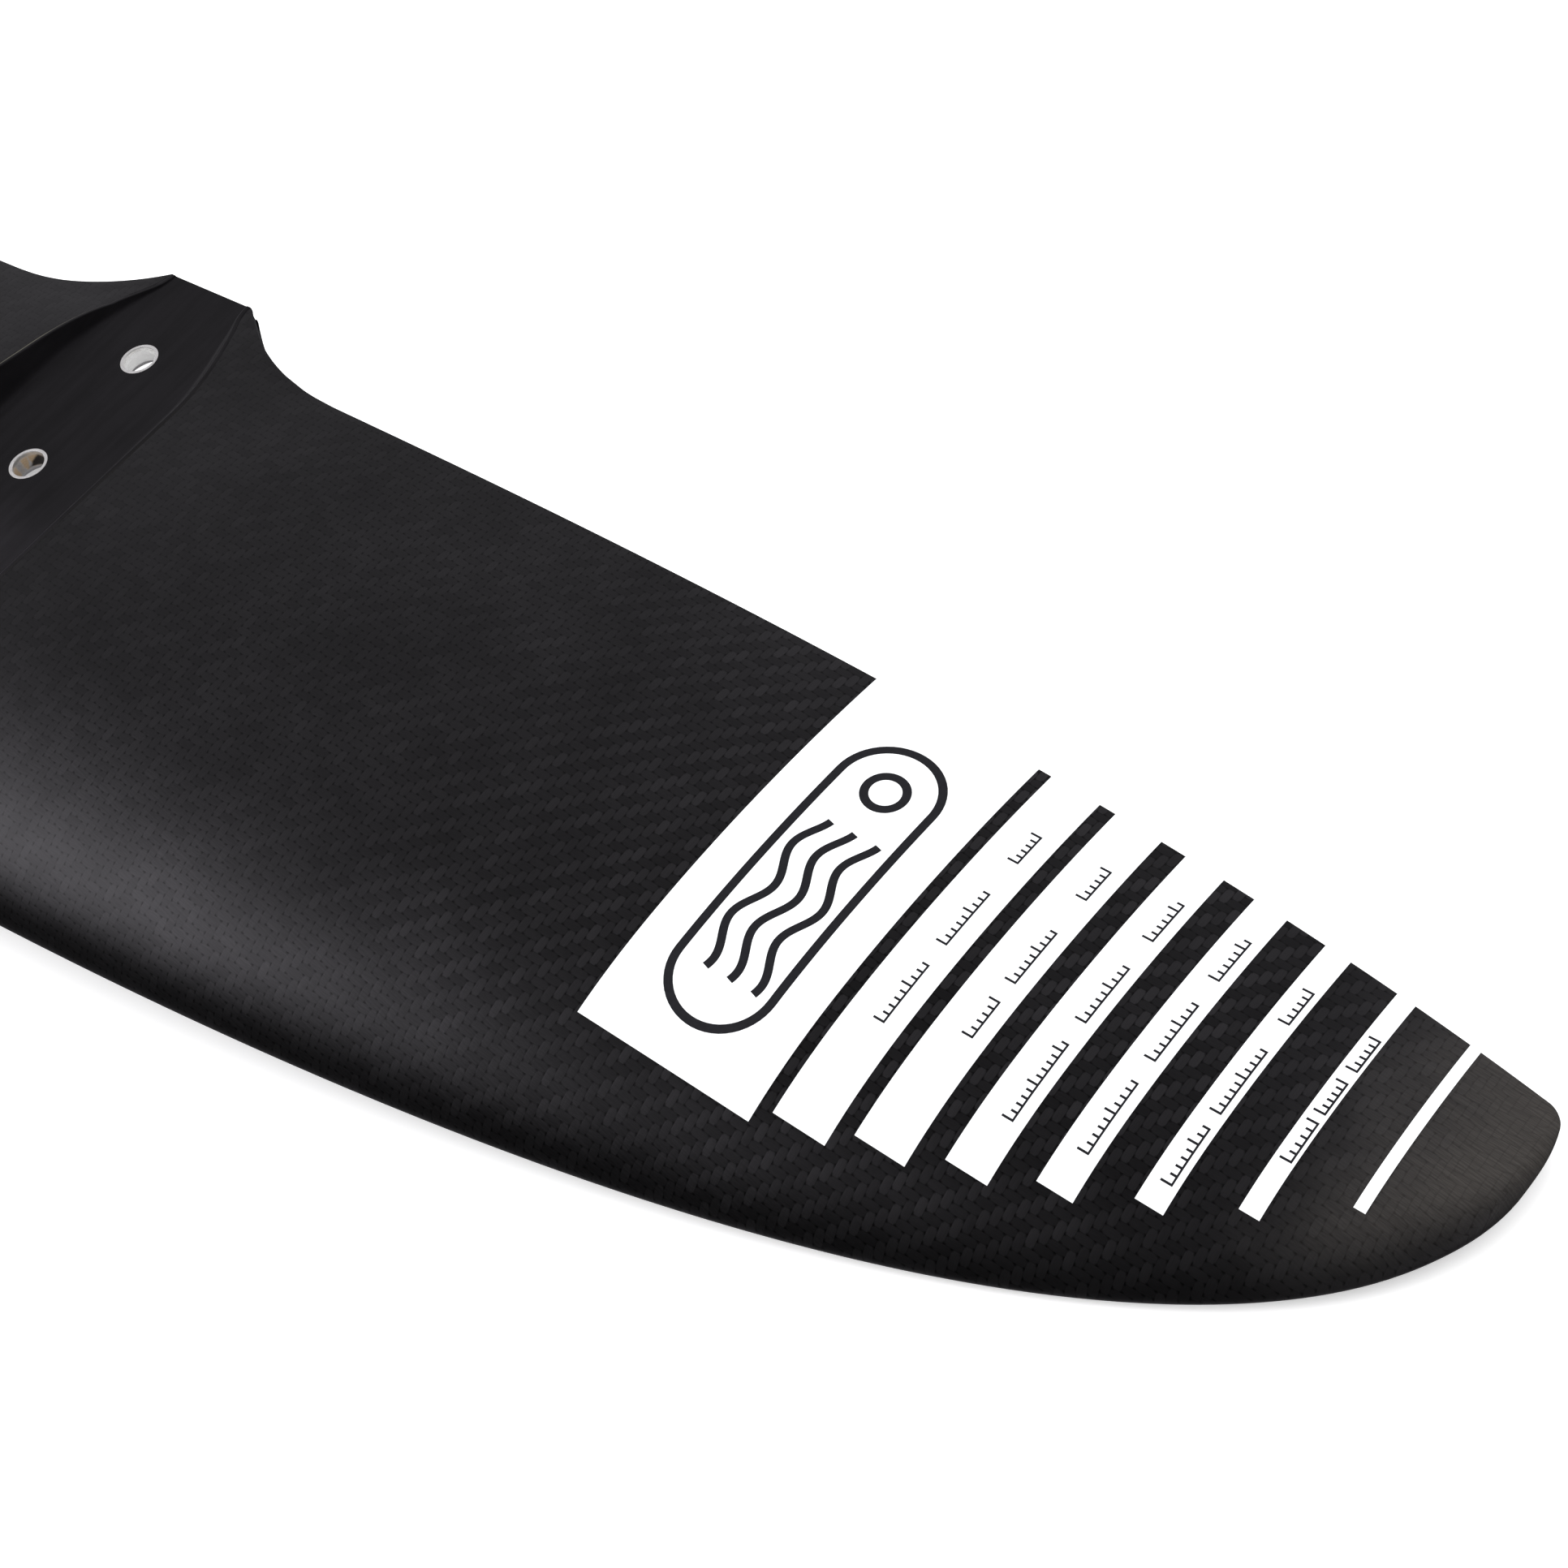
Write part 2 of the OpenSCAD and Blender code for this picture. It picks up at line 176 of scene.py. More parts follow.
def slab_faces(m, n):
    """Quads of a closed solid between two grids of m rows and n columns."""
    k = m * n
    i, j = np.meshgrid(np.arange(m - 1), np.arange(n - 1), indexing="ij")
    a = (i * n + j).ravel()
    top = np.stack([a, a + n, a + n + 1, a + 1], 1)
    low = np.stack([k + a, k + a + 1, k + a + n + 1, k + a + n], 1)
    r = np.arange(m - 1) * n
    front = np.stack([r, k + r, k + r + n, r + n], 1)
    e = r + n - 1
    back = np.stack([e, e + n, k + e + n, k + e], 1)
    c = np.arange(n - 1)
    first = np.stack([c, c + 1, k + c + 1, k + c], 1)
    d = (m - 1) * n + c
    last = np.stack([d, k + d, k + d + 1, d + 1], 1)
    return np.concatenate([top, low, front, back, first, last])


def slab(name, top, low, soft=40.0):
    m, n = top.shape[:2]
    return new_object(name, np.concatenate([top.reshape(-1, 3), low.reshape(-1, 3)]), slab_faces(m, n), soft)


def outward(ob):
    bm = bmesh.new()
    bm.from_mesh(ob.data)
    bmesh.ops.recalc_face_normals(bm, faces=bm.faces)
    bm.to_mesh(ob.data)
    bm.free()


def lathe(name, profile, n=96, soft=25.0):
    """A closed ring: profile is a closed loop of (radius, z)."""
    p = np.array(profile, float)
    a = np.linspace(0, 2 * np.pi, n, endpoint=False)
    v = np.stack([p[None, :, 0] * np.cos(a)[:, None], p[None, :, 0] * np.sin(a)[:, None],
                  np.broadcast_to(p[None, :, 1], (n, len(p)))], -1).reshape(-1, 3)
    k = len(p)
    f = [(i * k + j, i * k + (j + 1) % k, ((i + 1) % n) * k + (j + 1) % k, ((i + 1) % n) * k + j)
         for i in range(n) for j in range(k)]
    ob = new_object(name, v, f, soft)
    outward(ob)
    shade(ob, soft)
    return ob


def cylinder(name, r, x, y, z0, z1, n=96):
    a = np.linspace(0, 2 * np.pi, n, endpoint=False)
    ring = np.stack([x + r * np.cos(a), y + r * np.sin(a)], 1)
    v = [[p[0], p[1], z0] for p in ring] + [[p[0], p[1], z1] for p in ring]
    f = [tuple(range(n - 1, -1, -1)), tuple(range(n, 2 * n))]
    f += [(i, (i + 1) % n, n + (i + 1) % n, n + i) for i in range(n)]
    return new_object(name, v, f)


def cut(ob, tools, soft=40.0):
    """Takes the tools out of ob and removes them."""
    for t in tools:
        m = ob.modifiers.new("cut", "BOOLEAN")
        m.operation = "DIFFERENCE"
        m.solver = "MANIFOLD"
        m.object = t
    dg = bpy.context.evaluated_depsgraph_get()
    me = bpy.data.meshes.new_from_object(ob.evaluated_get(dg))
    old = ob.data
    ob.modifiers.clear()
    ob.data = me
    bpy.data.meshes.remove(old)
    me.name = ob.name
    bm = bmesh.new()
    bm.from_mesh(me)
    bmesh.ops.remove_doubles(bm, verts=bm.verts, dist=2e-7)
    bmesh.ops.dissolve_degenerate(bm, edges=bm.edges, dist=1e-7)
    bm.to_mesh(me)
    bm.free()
    for t in tools:
        bpy.data.objects.remove(t)
    shade(ob, soft)
    return ob


# ------------------------------------------------- arc lengths for the weave

def stations():
    """Spanwise stations, finer at the root and the tips."""
    a = np.concatenate([
        np.linspace(0, 15.6, 13), np.linspace(15.6, 64, 31)[1:], np.linspace(64, 360, 76)[1:],
        np.linspace(360, 396, 19)[1:], np.linspace(396, 403.4, 13)[1:], [404.0, 404.4, 404.7, 404.9, 405.0]])
    return np.concatenate([-a[:0:-1], a])


XS = stations()
NC = 92
SHARE = np.concatenate([1 - np.cos(np.pi / 2 * np.arange(NC) / NC)])


def chord_rows(x):
    """Points along the chord at each station, with extra ones over the rounded rear edge."""
    a, b = le(x)[:, None], rear(x)[:, None]
    edge = np.minimum(EDGE, (b - a) * 0.1)
    body = a + (b - edge - a) * SHARE[None, :] / SHARE[-1]
    tail = b - edge * (1 - np.sin(np.linspace(0, np.pi / 2, 6)[1:]))[None, :]
    return np.concatenate([body, tail], 1)


def arc_table(z):
    """Length along the surface, spanwise at each station and chordwise at each point."""
    Y = chord_rows(XS)
    X = np.broadcast_to(XS[:, None], Y.shape)
    Z = z(X, Y)
    step = np.hypot(np.diff(Y, axis=1), np.diff(Z, axis=1))
    along = np.concatenate([np.zeros((len(XS), 1)), np.cumsum(step, 1)], 1)
    ref = np.clip(-52.0, Y[:, 0], Y[:, -1])
    at_ref = np.array([np.interp(r, Y[i], along[i]) for i, r in enumerate(ref)])
    V = along - at_ref[:, None] + ref[:, None]
    zr = z(XS, np.clip(-52.0, le(XS), rear(XS)))
    S = np.concatenate([[0], np.cumsum(np.hypot(np.diff(XS), np.diff(zr)))])
    S -= np.interp(0, XS, S)
    return Y, V, S


def weave_uv(ob, z):
    """UVs in metres along the cloth, from each point's place on the surface."""
    Y, V, S = arc_table(z)
    me = ob.data
    co = np.empty(len(me.vertices) * 3)
    me.vertices.foreach_get("co", co)
    co = co.reshape(-1, 3) / MM
    x = np.clip(co[:, 0], -HS, HS)
    i = np.clip(np.searchsorted(XS, x) - 1, 0, len(XS) - 2)
    f = (x - XS[i]) / (XS[i + 1] - XS[i])
    a, b = le(x), rear(x)
    t = np.clip((co[:, 1] - a) / np.maximum(b - a, 1e-6), 0, 1)
    grid = np.linspace(0, 1, 400)
    T = (Y - Y[:, :1]) / np.maximum(Y[:, -1:] - Y[:, :1], 1e-6)
    VG = np.stack([np.interp(grid ** 2, T[k], V[k]) for k in range(len(XS))])
    g = np.sqrt(t) * 399
    j = np.clip(g.astype(int), 0, 398)
    h = g - j
    v0 = VG[i, j] * (1 - h) + VG[i, j + 1] * h
    v1 = VG[i + 1, j] * (1 - h) + VG[i + 1, j + 1] * h
    v = v0 * (1 - f) + v1 * f
    uv = np.stack([np.interp(x, XS, S), v], 1) * MM
    idx = np.empty(len(me.loops), int)
    me.loops.foreach_get("vertex_index", idx)
    layer = me.uv_layers.get("weave") or me.uv_layers.new(name="weave")
    layer.data.foreach_set("uv", uv[idx].astype(np.float32).ravel())
    me.uv_layers.active = layer


# -------------------------------------------------------------- the channel

def channel_line():
    """The outline of the channel floor: points and outward directions, from the rear right round the front."""
    y = np.concatenate([np.linspace(27.3, 17, 9), np.linspace(15.5, -12, 19), np.linspace(-16, -76, 16)])
    w = np.where(y > 18, 16.6 - 2.8 * smooth((y - 18) / 6),
                 np.where(y > -12, 16.6 + 6.9 * np.sin(np.radians(np.clip((18 - y) * 3, 0, 90))), 23.5))
    k = np.exp(-0.5 * ((y[:, None] - y[None, :]) / 2.2) ** 2)
    k *= np.gradient(y)[None, :] * -1
    ws = (k * w[None, :]).sum(1) / k.sum(1)
    w = np.where((y > 25.5) | (y < -14), w, ws)
    right = np.stack([w, y], 1)
    a = np.radians(np.linspace(0, 90, 25))
    arc = np.stack([23.5 * np.cos(a), -80 - 28.3 * np.sin(a)], 1)
    n = np.stack([np.cos(a) / 23.5, -np.sin(a) / 28.3], 1)
    n /= np.linalg.norm(n, axis=1)[:, None]
    p = np.concatenate([right, arc])
    d = np.concatenate([np.tile([1.0, 0.0], (len(right), 1)), n])
    mirror = np.array([-1.0, 1.0])
    return np.concatenate([p, p[-2::-1] * mirror]), np.concatenate([d, d[-2::-1] * mirror])


def channel_tool():
    """What is taken out of the upper skin: the channel with its liner, and all above it."""
    p, d = channel_line()
    for q in (0, -1):
        p[q] = [p[q][0], 34.0]
    rows = []
    for z in (-LINER - 0.06, 0.5, 2, 4, 7, 14):
        rows.append(np.concatenate([p + d * (z + 1.414 + 0.03), np.full((len(p), 1), z)], 1))
    n = len(p)
    v = np.concatenate(rows)
    f = [(r * n + i, r * n + i + 1, (r + 1) * n + i + 1, (r + 1) * n + i) for r in range(len(rows) - 1) for i in range(n - 1)]
    f += [tuple(range(n - 1, -1, -1)), tuple((len(rows) - 1) * n + i for i in range(n))]
    f += [tuple([r * n for r in range(len(rows))] + [r * n + n - 1 for r in range(len(rows) - 1, -1, -1)])]
    ob = new_object("channel_tool", v, f)
    outward(ob)
    return ob


def seat_liner():
    p, d = channel_line()
    n = len(p)
    h = np.full(n, 4.0)
    for _ in range(30):
        q = p + d * h[:, None]
        h = 0.5 * h + 0.5 * np.maximum(top_z(q[:, 0], np.minimum(q[:, 1], TAB_REAR - 0.4)), 0.28)
    rad = np.minimum(3.4, 2.0 * h)

    def skin(off):
        q = p + d * np.asarray(off)[:, None]
        return np.maximum(zu(q[:, 0], np.minimum(q[:, 1], TAB_REAR - 0.4)), 0.2)

    prof = []
    for a in np.radians(np.linspace(0, 45, 8)):
        prof.append((-rad * math.tan(math.pi / 8) + rad * math.sin(a), rad * (1 - math.cos(a))))
    s0 = rad * 0.2929
    r = np.minimum(0.34, 0.3 * h)
    for t in (0.34, 0.67, 1.0):
        s = s0 + (h - r - s0) * t
        prof.append((s, s))
    za = h - r
    zc = skin(h + r)
    for t in (0.3, 0.6, 0.85):
        prof.append(((1 - t) ** 2 * (h - r) + 2 * t * (1 - t) * h + t * t * (h + r),
                     (1 - t) ** 2 * za + 2 * t * (1 - t) * (h + 0.02) + t * t * (zc + 0.02)))
    for t in (0.0, 0.5, 1.0):
        off = (h + r) + (1.414 - 0.16 - r) * t
        prof.append((off, skin(off) + 0.02))
    prof.append((h + 1.414 - 0.05, skin(h + 1.36) - 0.03))
    prof.append((h + 1.414, skin(h + 1.414) - 0.16))
    prof.append((0.5 * (h + 1.414) + 0.207, (skin(h + 1.414) - 0.16) * 0.5 - 0.5 * LINER))
    prof.append((np.full(n, 0.414), np.full(n, -LINER)))
    prof.append((-rad * 0.5, np.full(n, -LINER)))
    k = len(prof)
    pts = np.zeros((n, k, 3))
    for j, (o, z) in enumerate(prof):
        q = p + d * np.asarray(o)[:, None]
        pts[:, j, :2] = q
        pts[:, j, 2] = z
    v = pts.reshape(-1, 3)
    f = [(i * k + j, (i + 1) * k + j, (i + 1) * k + j + 1, i * k + j + 1) for i in range(n - 1) for j in range(k - 1)]
    f += [tuple(i * k for i in range(n)), tuple(i * k + k - 1 for i in range(n - 1, -1, -1))]
    f += [tuple(list(range(k)) + [(n - 1) * k + j for j in range(k - 1, -1, -1)])]
    ob = new_object("seat_tray", v, f, 25)
    outward(ob)
    ob.data.update()
    cut(ob, [cylinder("c%d" % i, RIM + 0.03, 0, -PITCH * i, -3, 3) for i in range(3)], 25)
    bm = bmesh.new()
    bm.from_mesh(ob.data)
    bmesh.ops.triangulate(bm, faces=[x for x in bm.faces if len(x.verts) > 6])
    bm.to_mesh(ob.data)
    bm.free()
    shade(ob, 25)
    # A UV map that tells how far out on the rim each point is
    me = ob.data
    co = np.empty(len(me.vertices) * 3)
    me.vertices.foreach_get("co", co)
    co = co.reshape(-1, 3) / MM
    m = n // 2
    line, deep = p[:m + 1], h[:m + 1]
    dist = np.hypot(np.abs(co[:, None, 0]) - line[None, :, 0] - d[None, :m + 1, 0] * deep[None, :],
                    co[:, None, 1] - line[None, :, 1] - d[None, :m + 1, 1] * deep[None, :])
    k = dist.argmin(1)
    off = (np.abs(co[:, 0]) - line[k, 0]) * d[k, 0] + (co[:, 1] - line[k, 1]) * d[k, 1] - deep[k]
    idx = np.empty(len(me.loops), int)
    me.loops.foreach_get("vertex_index", idx)
    uv = me.uv_layers.new(name="tray")
    uv.data.foreach_set("uv", (np.stack([off, co[:, 2]], 1) * MM)[idx].astype(np.float32).ravel())
    return ob


# ------------------------------------------------------------ the two skins

def full_tip(p):
    """Lets the end of each tip swell a little, so that it is a curve and not a straight edge."""
    x, y = p[..., 0], p[..., 1]
    t = np.clip((y + 50) / 44, 0, 1) ** 2
    p[..., 0] = x + np.sign(x) * 2.6 * smooth((np.abs(x) - 388) / 16) * np.sin(np.pi * t)
    return p


def skins():
    Y = chord_rows(XS)
    X = np.broadcast_to(XS[:, None], Y.shape)
    mid = (zu(X, Y) + zl(X, Y)) / 2
    a = np.minimum(1.0, (rear(XS) - le(XS)) / 60)[:, None]
    Yi = le(XS)[:, None] + a + (Y - Y[:, :1]) * ((rear(XS) - le(XS))[:, None] - a) / (rear(XS) - le(XS))[:, None]
    gap = np.clip((rear(XS)[:, None] - Yi) / 0.1, 0.06, 1.0) * 0.15
    gap = np.where(np.abs(X) > 404.6, 0.01, gap)
    mi = (zu(X, Yi) + zl(X, Yi)) / 2
    up = np.stack([X, Y, top_z(X, Y)], -1)
    up_in = np.stack([X, Yi, np.minimum(np.maximum(mi + gap, zu(X, Yi) - SKIN), top_z(X, Y) - 0.004)], -1)
    lo = np.stack([X, Y, low_z(X, Y)], -1)
    lo_in = np.stack([X, Yi, np.maximum(np.minimum(mi - gap, zl(X, Yi) + SKIN), low_z(X, Y) + 0.004)], -1)
    up_in[:, 0, 2] = np.maximum(up_in[:, 0, 2], mi[:, 0] + gap[:, 0])
    lo_in[:, 0, 2] = np.minimum(lo_in[:, 0, 2], mi[:, 0] - gap[:, 0])
    upper = slab("carbon_skin_upper", full_tip(up), full_tip(up_in))
    lower = slab("carbon_skin_lower", full_tip(lo_in), full_tip(lo))
    cut(upper, [channel_tool()])
    cut(lower, [cylinder("c%d" % i, SINK + 0.6, 0, -PITCH * i, -30, 10) for i in range(3)])
    weave_uv(upper, zu)
    weave_uv(lower, zl)
    return upper, lower


# ---------------------------------------------------------------- the print

LIFT, FILM, INK = 0.015, 0.085, 0.05


def draped(name, xs, ys, lo, hi, soft=40.0):
    """A thin closed sheet over the upper surface; xs by station, ys by station and point."""
    X = np.broadcast_to(xs[:, None], ys.shape)
    z = top_z(X, ys)
    return slab(name, np.stack([X, ys, z + hi], -1), np.stack([X, ys, z + lo], -1), soft)


def film(name, x0, x1, front, side):
    xs = np.linspace(x0, x1, max(5, int(abs(x1 - x0) / 2.2) + 1))
    t = np.concatenate([np.linspace(0, 1, 56)[:-1], [0.994, 0.997, 1.0]])
    r = rear(xs) - 0.1
    ys = front + (r[:, None] - front) * t[None, :]
    xs = xs * side
    if side < 0:
        xs, ys = xs[::-1], ys[::-1]
    return draped(name, xs, ys, LIFT, LIFT + FILM)


def join(name, parts):
    """Several closed solids as one object."""
    verts, faces, base = [], [], 0
    for o in parts:
        co = np.empty(len(o.data.vertices) * 3)
        o.data.vertices.foreach_get("co", co)
        verts.append(co.reshape(-1, 3) / MM)
        faces += [[base + i for i in f.vertices] for f in o.data.polygons]
        base += len(o.data.vertices)
        me = o.data
        bpy.data.objects.remove(o)
        bpy.data.meshes.remove(me)
    return new_object(name, np.concatenate(verts), faces)


STRIPE_IN = [275.8, 292.7, 311, 328.7, 346.8, 364.8, 382.9]
STRIPE_FRONT = [-87.7, -82.9, -77.6, -71.9, -65, -56.6, -45.3]


def patch(x0, x1, y0, y1):
    """One inked bar on the film, straight in plan."""
    xs = np.linspace(min(x0, x1), max(x0, x1), max(2, int(abs(x1 - x0) / 2) + 2))
    ys = np.tile(np.linspace(y0, y1, max(2, int((y1 - y0) / 2.5) + 2)), (len(xs), 1))
    return draped("ink", xs, ys, LIFT + FILM - 0.02, LIFT + FILM + INK)


def ribbon(path, w):
    """An inked line of half width w along an open path."""
    p = np.array(path, float)
    g = np.gradient(p, axis=0)
    g /= np.linalg.norm(g, axis=1)[:, None]
    nrm = np.stack([-g[:, 1], g[:, 0]], 1)
    v = []
    for o in (-w, 0, w):
        q = p + nrm * o
        z = top_z(q[:, 0], q[:, 1])
        v.append(np.stack([q[:, 0], q[:, 1], z], 1))
    v = np.array(v)
    hi, lo = v.copy(), v.copy()
    hi[..., 2] += LIFT + FILM + INK
    lo[..., 2] += LIFT + FILM - 0.02
    ob = slab("ink", hi, lo)
    outward(ob)
    return ob


def loop_band(outer, inner):
    """An inked closed band between two loops."""
    n = len(outer)
    rings = []
    for q, dz in ((outer, INK), (inner, INK), (outer, -0.02), (inner, -0.02)):
        q = np.array(q, float)
        rings.append(np.stack([q[:, 0], q[:, 1], top_z(q[:, 0], q[:, 1]) + LIFT + FILM + dz], 1))
    f = []
    for i in range(n):
        j = (i + 1) % n
        f += [(i, j, n + j, n + i), (2 * n + i, 3 * n + i, 3 * n + j, 2 * n + j),
              (i, 2 * n + i, 2 * n + j, j), (n + i, n + j, 3 * n + j, 3 * n + i)]
    ob = new_object("ink", np.concatenate(rings), f)
    outward(ob)
    return ob


def stadium(c, r, y0, y1, n=28, m=26):
    a = np.linspace(0, np.pi, n)
    s = np.linspace(0, 1, m)[1:-1]
    return np.concatenate([
        np.stack([c + r * np.cos(a), y1 + r * np.sin(a)], 1), np.stack([np.full(m - 2, c - r), y1 + (y0 - y1) * s], 1),
        np.stack([c - r * np.cos(a), y0 - r * np.sin(a)], 1), np.stack([np.full(m - 2, c + r), y0 + (y1 - y0) * s], 1)])


# Rulings on the stripes: for each of six, the ends of its three scales
RULES = [(283, (-60.5, -44.5, -38.8, -23.3, -13.8, -5.0)), (300, (-53.8, -43.8, -38.8, -23.8, -13.8, -4.5)),
         (317, (-64.5, -44.5, -38.8, -23, -15, -3.4)), (333.3, (-62.5, -44.5, -38.8, -23, -16, -4)),
         (350.4, (-59.5, -45.5, -42, -25, -17.5, -8)), (367.2, (-43.8, -33.6, -31.6, -23, -20, -11))]


def ink_marks(name, side):
    parts = []
    c = 250.3 * side
    parts.append(loop_band(stadium(c, 13.0, -69.0, -13.6), stadium(c, 11.0, -69.0, -13.6)))
    ys = np.linspace(-69.5, -26.5, 90)
    for k in (-1, 0, 1):
        ph = (ys + 69.5) / 43.0
        amp = 1.75
        parts.append(ribbon(np.stack([c + side * (k * 6.2 + amp * np.sin(ph * 3.0 * np.pi * 1.36 + 0.9)), ys], 1), 0.95))
    a = np.linspace(0, 2 * np.pi, 40, endpoint=False)
    ring = np.stack([np.cos(a), np.sin(a)], 1)
    parts.append(loop_band(np.array([c, -13.8]) + ring * 5.6, np.array([c, -13.8]) + ring * 3.6))
    for xc, ends in RULES:
        for q in range(3):
            y0, y1 = ends[2 * q], ends[2 * q + 1]
            n = max(2, int(round((y1 - y0) / 1.9)))
            parts.append(patch((xc + 0.95) * side, (xc + 1.40) * side, y0, y1))
            for i in range(n + 1):
                yc = y0 + 0.26 + (y1 - y0 - 0.52) * i / n
                long = i % 5 == 0
                parts.append(patch((xc - (1.35 if long else 0.35)) * side, (xc + 0.95) * side, yc - 0.26, yc + 0.26))
    return join(name, parts)


# ------------------------------------------------------------ the ferrules

def ferrule(name, i):
    z = (-8.5, -9.0, -13.2)[i]
    ob = lathe(name, [
        (BORE + 0.32, 0.03), (RIM - 0.14, 0.03), (RIM - 0.04, 0.0), (RIM, -0.1), (RIM, z + 3.4), (SINK + 0.4, z + 0.2),
        (SINK + 0.36, z + 0.02), (SINK + 0.1, z), (SINK - 0.06, z + 0.12), (BORE + 0.1, z + SINK - BORE - 0.1),
        (BORE, z + SINK - BORE + 0.15), (BORE, -0.3), (BORE + 0.06, -0.14), (BORE + 0.18, -0.01)], 96, 22)
    ob.data.transform(Matrix.Translation((0, -PITCH * i * MM, 0)))
    return ob


# ---------------------------------------------------------------- materials

class Tree:
    """Short calls for building a node tree."""

    def __init__(self, name):
        self.mat = bpy.data.materials.new(name)
        self.mat.use_nodes = True
        self.t = self.mat.node_tree
        self.t.nodes.clear()
        self.out = self.t.nodes.new("ShaderNodeOutputMaterial")
        self.b = self.t.nodes.new("ShaderNodeBsdfPrincipled")
        self.t.links.new(self.b.outputs[0], self.out.inputs[0])

    def put(self, socket, v):
        if isinstance(v, bpy.types.NodeSocket):
            self.t.links.new(v, socket)
        else:
            socket.default_value = v

    def m(self, op, a, b=None, c=None, clamp=False):
        n = self.t.nodes.new("ShaderNodeMath")
        n.operation = op
        n.use_clamp = clamp
        for s, v in zip(n.inputs, (a, b, c)):
            if v is not None:
                self.put(s, v)
        return n.outputs[0]

    def ramp(self, v, a, b, lo=0.0, hi=1.0, kind="SMOOTHSTEP"):
        n = self.t.nodes.new("ShaderNodeMapRange")
        n.interpolation_type = kind
        for s, x in zip(n.inputs, (v, a, b, lo, hi)):
            self.put(s, x)
        return n.outputs[0]

    def vec(self, x, y, z=0.0):
        n = self.t.nodes.new("ShaderNodeCombineXYZ")
        for s, v in zip(n.inputs, (x, y, z)):
            self.put(s, v)
        return n.outputs[0]

    def split(self, v):
        n = self.t.nodes.new("ShaderNodeSeparateXYZ")
        self.put(n.inputs[0], v)
        return n.outputs

    def coords(self, which="Object"):
        return self.t.nodes.new("ShaderNodeTexCoord").outputs[which]

    def uv(self, name):
        n = self.t.nodes.new("ShaderNodeUVMap")
        n.uv_map = name
        return n.outputs[0]

    def noise(self, v, scale=1.0, detail=2.0, rough=0.5, distort=0.0):
        n = self.t.nodes.new("ShaderNodeTexNoise")
        self.put(n.inputs["Vector"], v)
        n.inputs["Scale"].default_value = scale
        n.inputs["Detail"].default_value = detail
        n.inputs["Roughness"].default_value = rough
        n.inputs["Distortion"].default_value = distort
        return n.outputs[0]

    def white(self, v):
        n = self.t.nodes.new("ShaderNodeTexWhiteNoise")
        n.noise_dimensions = "3D"
        self.put(n.inputs["Vector"], v)
        return n.outputs[0]

    def mix(self, f, a, b):
        n = self.t.nodes.new("ShaderNodeMix")
        n.data_type = "RGBA"
        self.put(n.inputs[0], f)
        self.put(n.inputs[6], a if isinstance(a, bpy.types.NodeSocket) else (*a, 1.0))
        self.put(n.inputs[7], b if isinstance(b, bpy.types.NodeSocket) else (*b, 1.0))
        return n.outputs[2]

    def tint(self, c, f):
        """Colour c times a factor."""
        n = self.t.nodes.new("ShaderNodeMix")
        n.data_type = "RGBA"
        n.blend_type = "MULTIPLY"
        n.inputs[0].default_value = 1.0
        self.put(n.inputs[6], c if isinstance(c, bpy.types.NodeSocket) else (*c, 1.0))
        g = self.vec(f, f, f)
        self.t.links.new(g, n.inputs[7])
        return n.outputs[2]

    def bump(self, h, strength=1.0, distance=1.0, normal=None):
        n = self.t.nodes.new("ShaderNodeBump")
        n.inputs["Strength"].default_value = strength
        n.inputs["Distance"].default_value = distance
        self.put(n.inputs["Height"], h)
        if normal is not None:
            self.put(n.inputs["Normal"], normal)
        return n.outputs[0]

    def set(self, **kw):
        names = {"color": "Base Color", "rough": "Roughness", "metal": "Metallic", "normal": "Normal",
                 "coat": "Coat Weight", "coat_rough": "Coat Roughness", "coat_ior": "Coat IOR",
                 "coat_normal": "Coat Normal", "spec": "Specular IOR Level", "ior": "IOR",
                 "sheen": "Sheen Weight", "aniso": "Anisotropic"}
        for k, v in kw.items():
            if k == "color" and not isinstance(v, bpy.types.NodeSocket):
                v = (*v, 1.0)
            self.put(self.b.inputs[names[k]], v)
        return self.mat


TOW = 0.0020


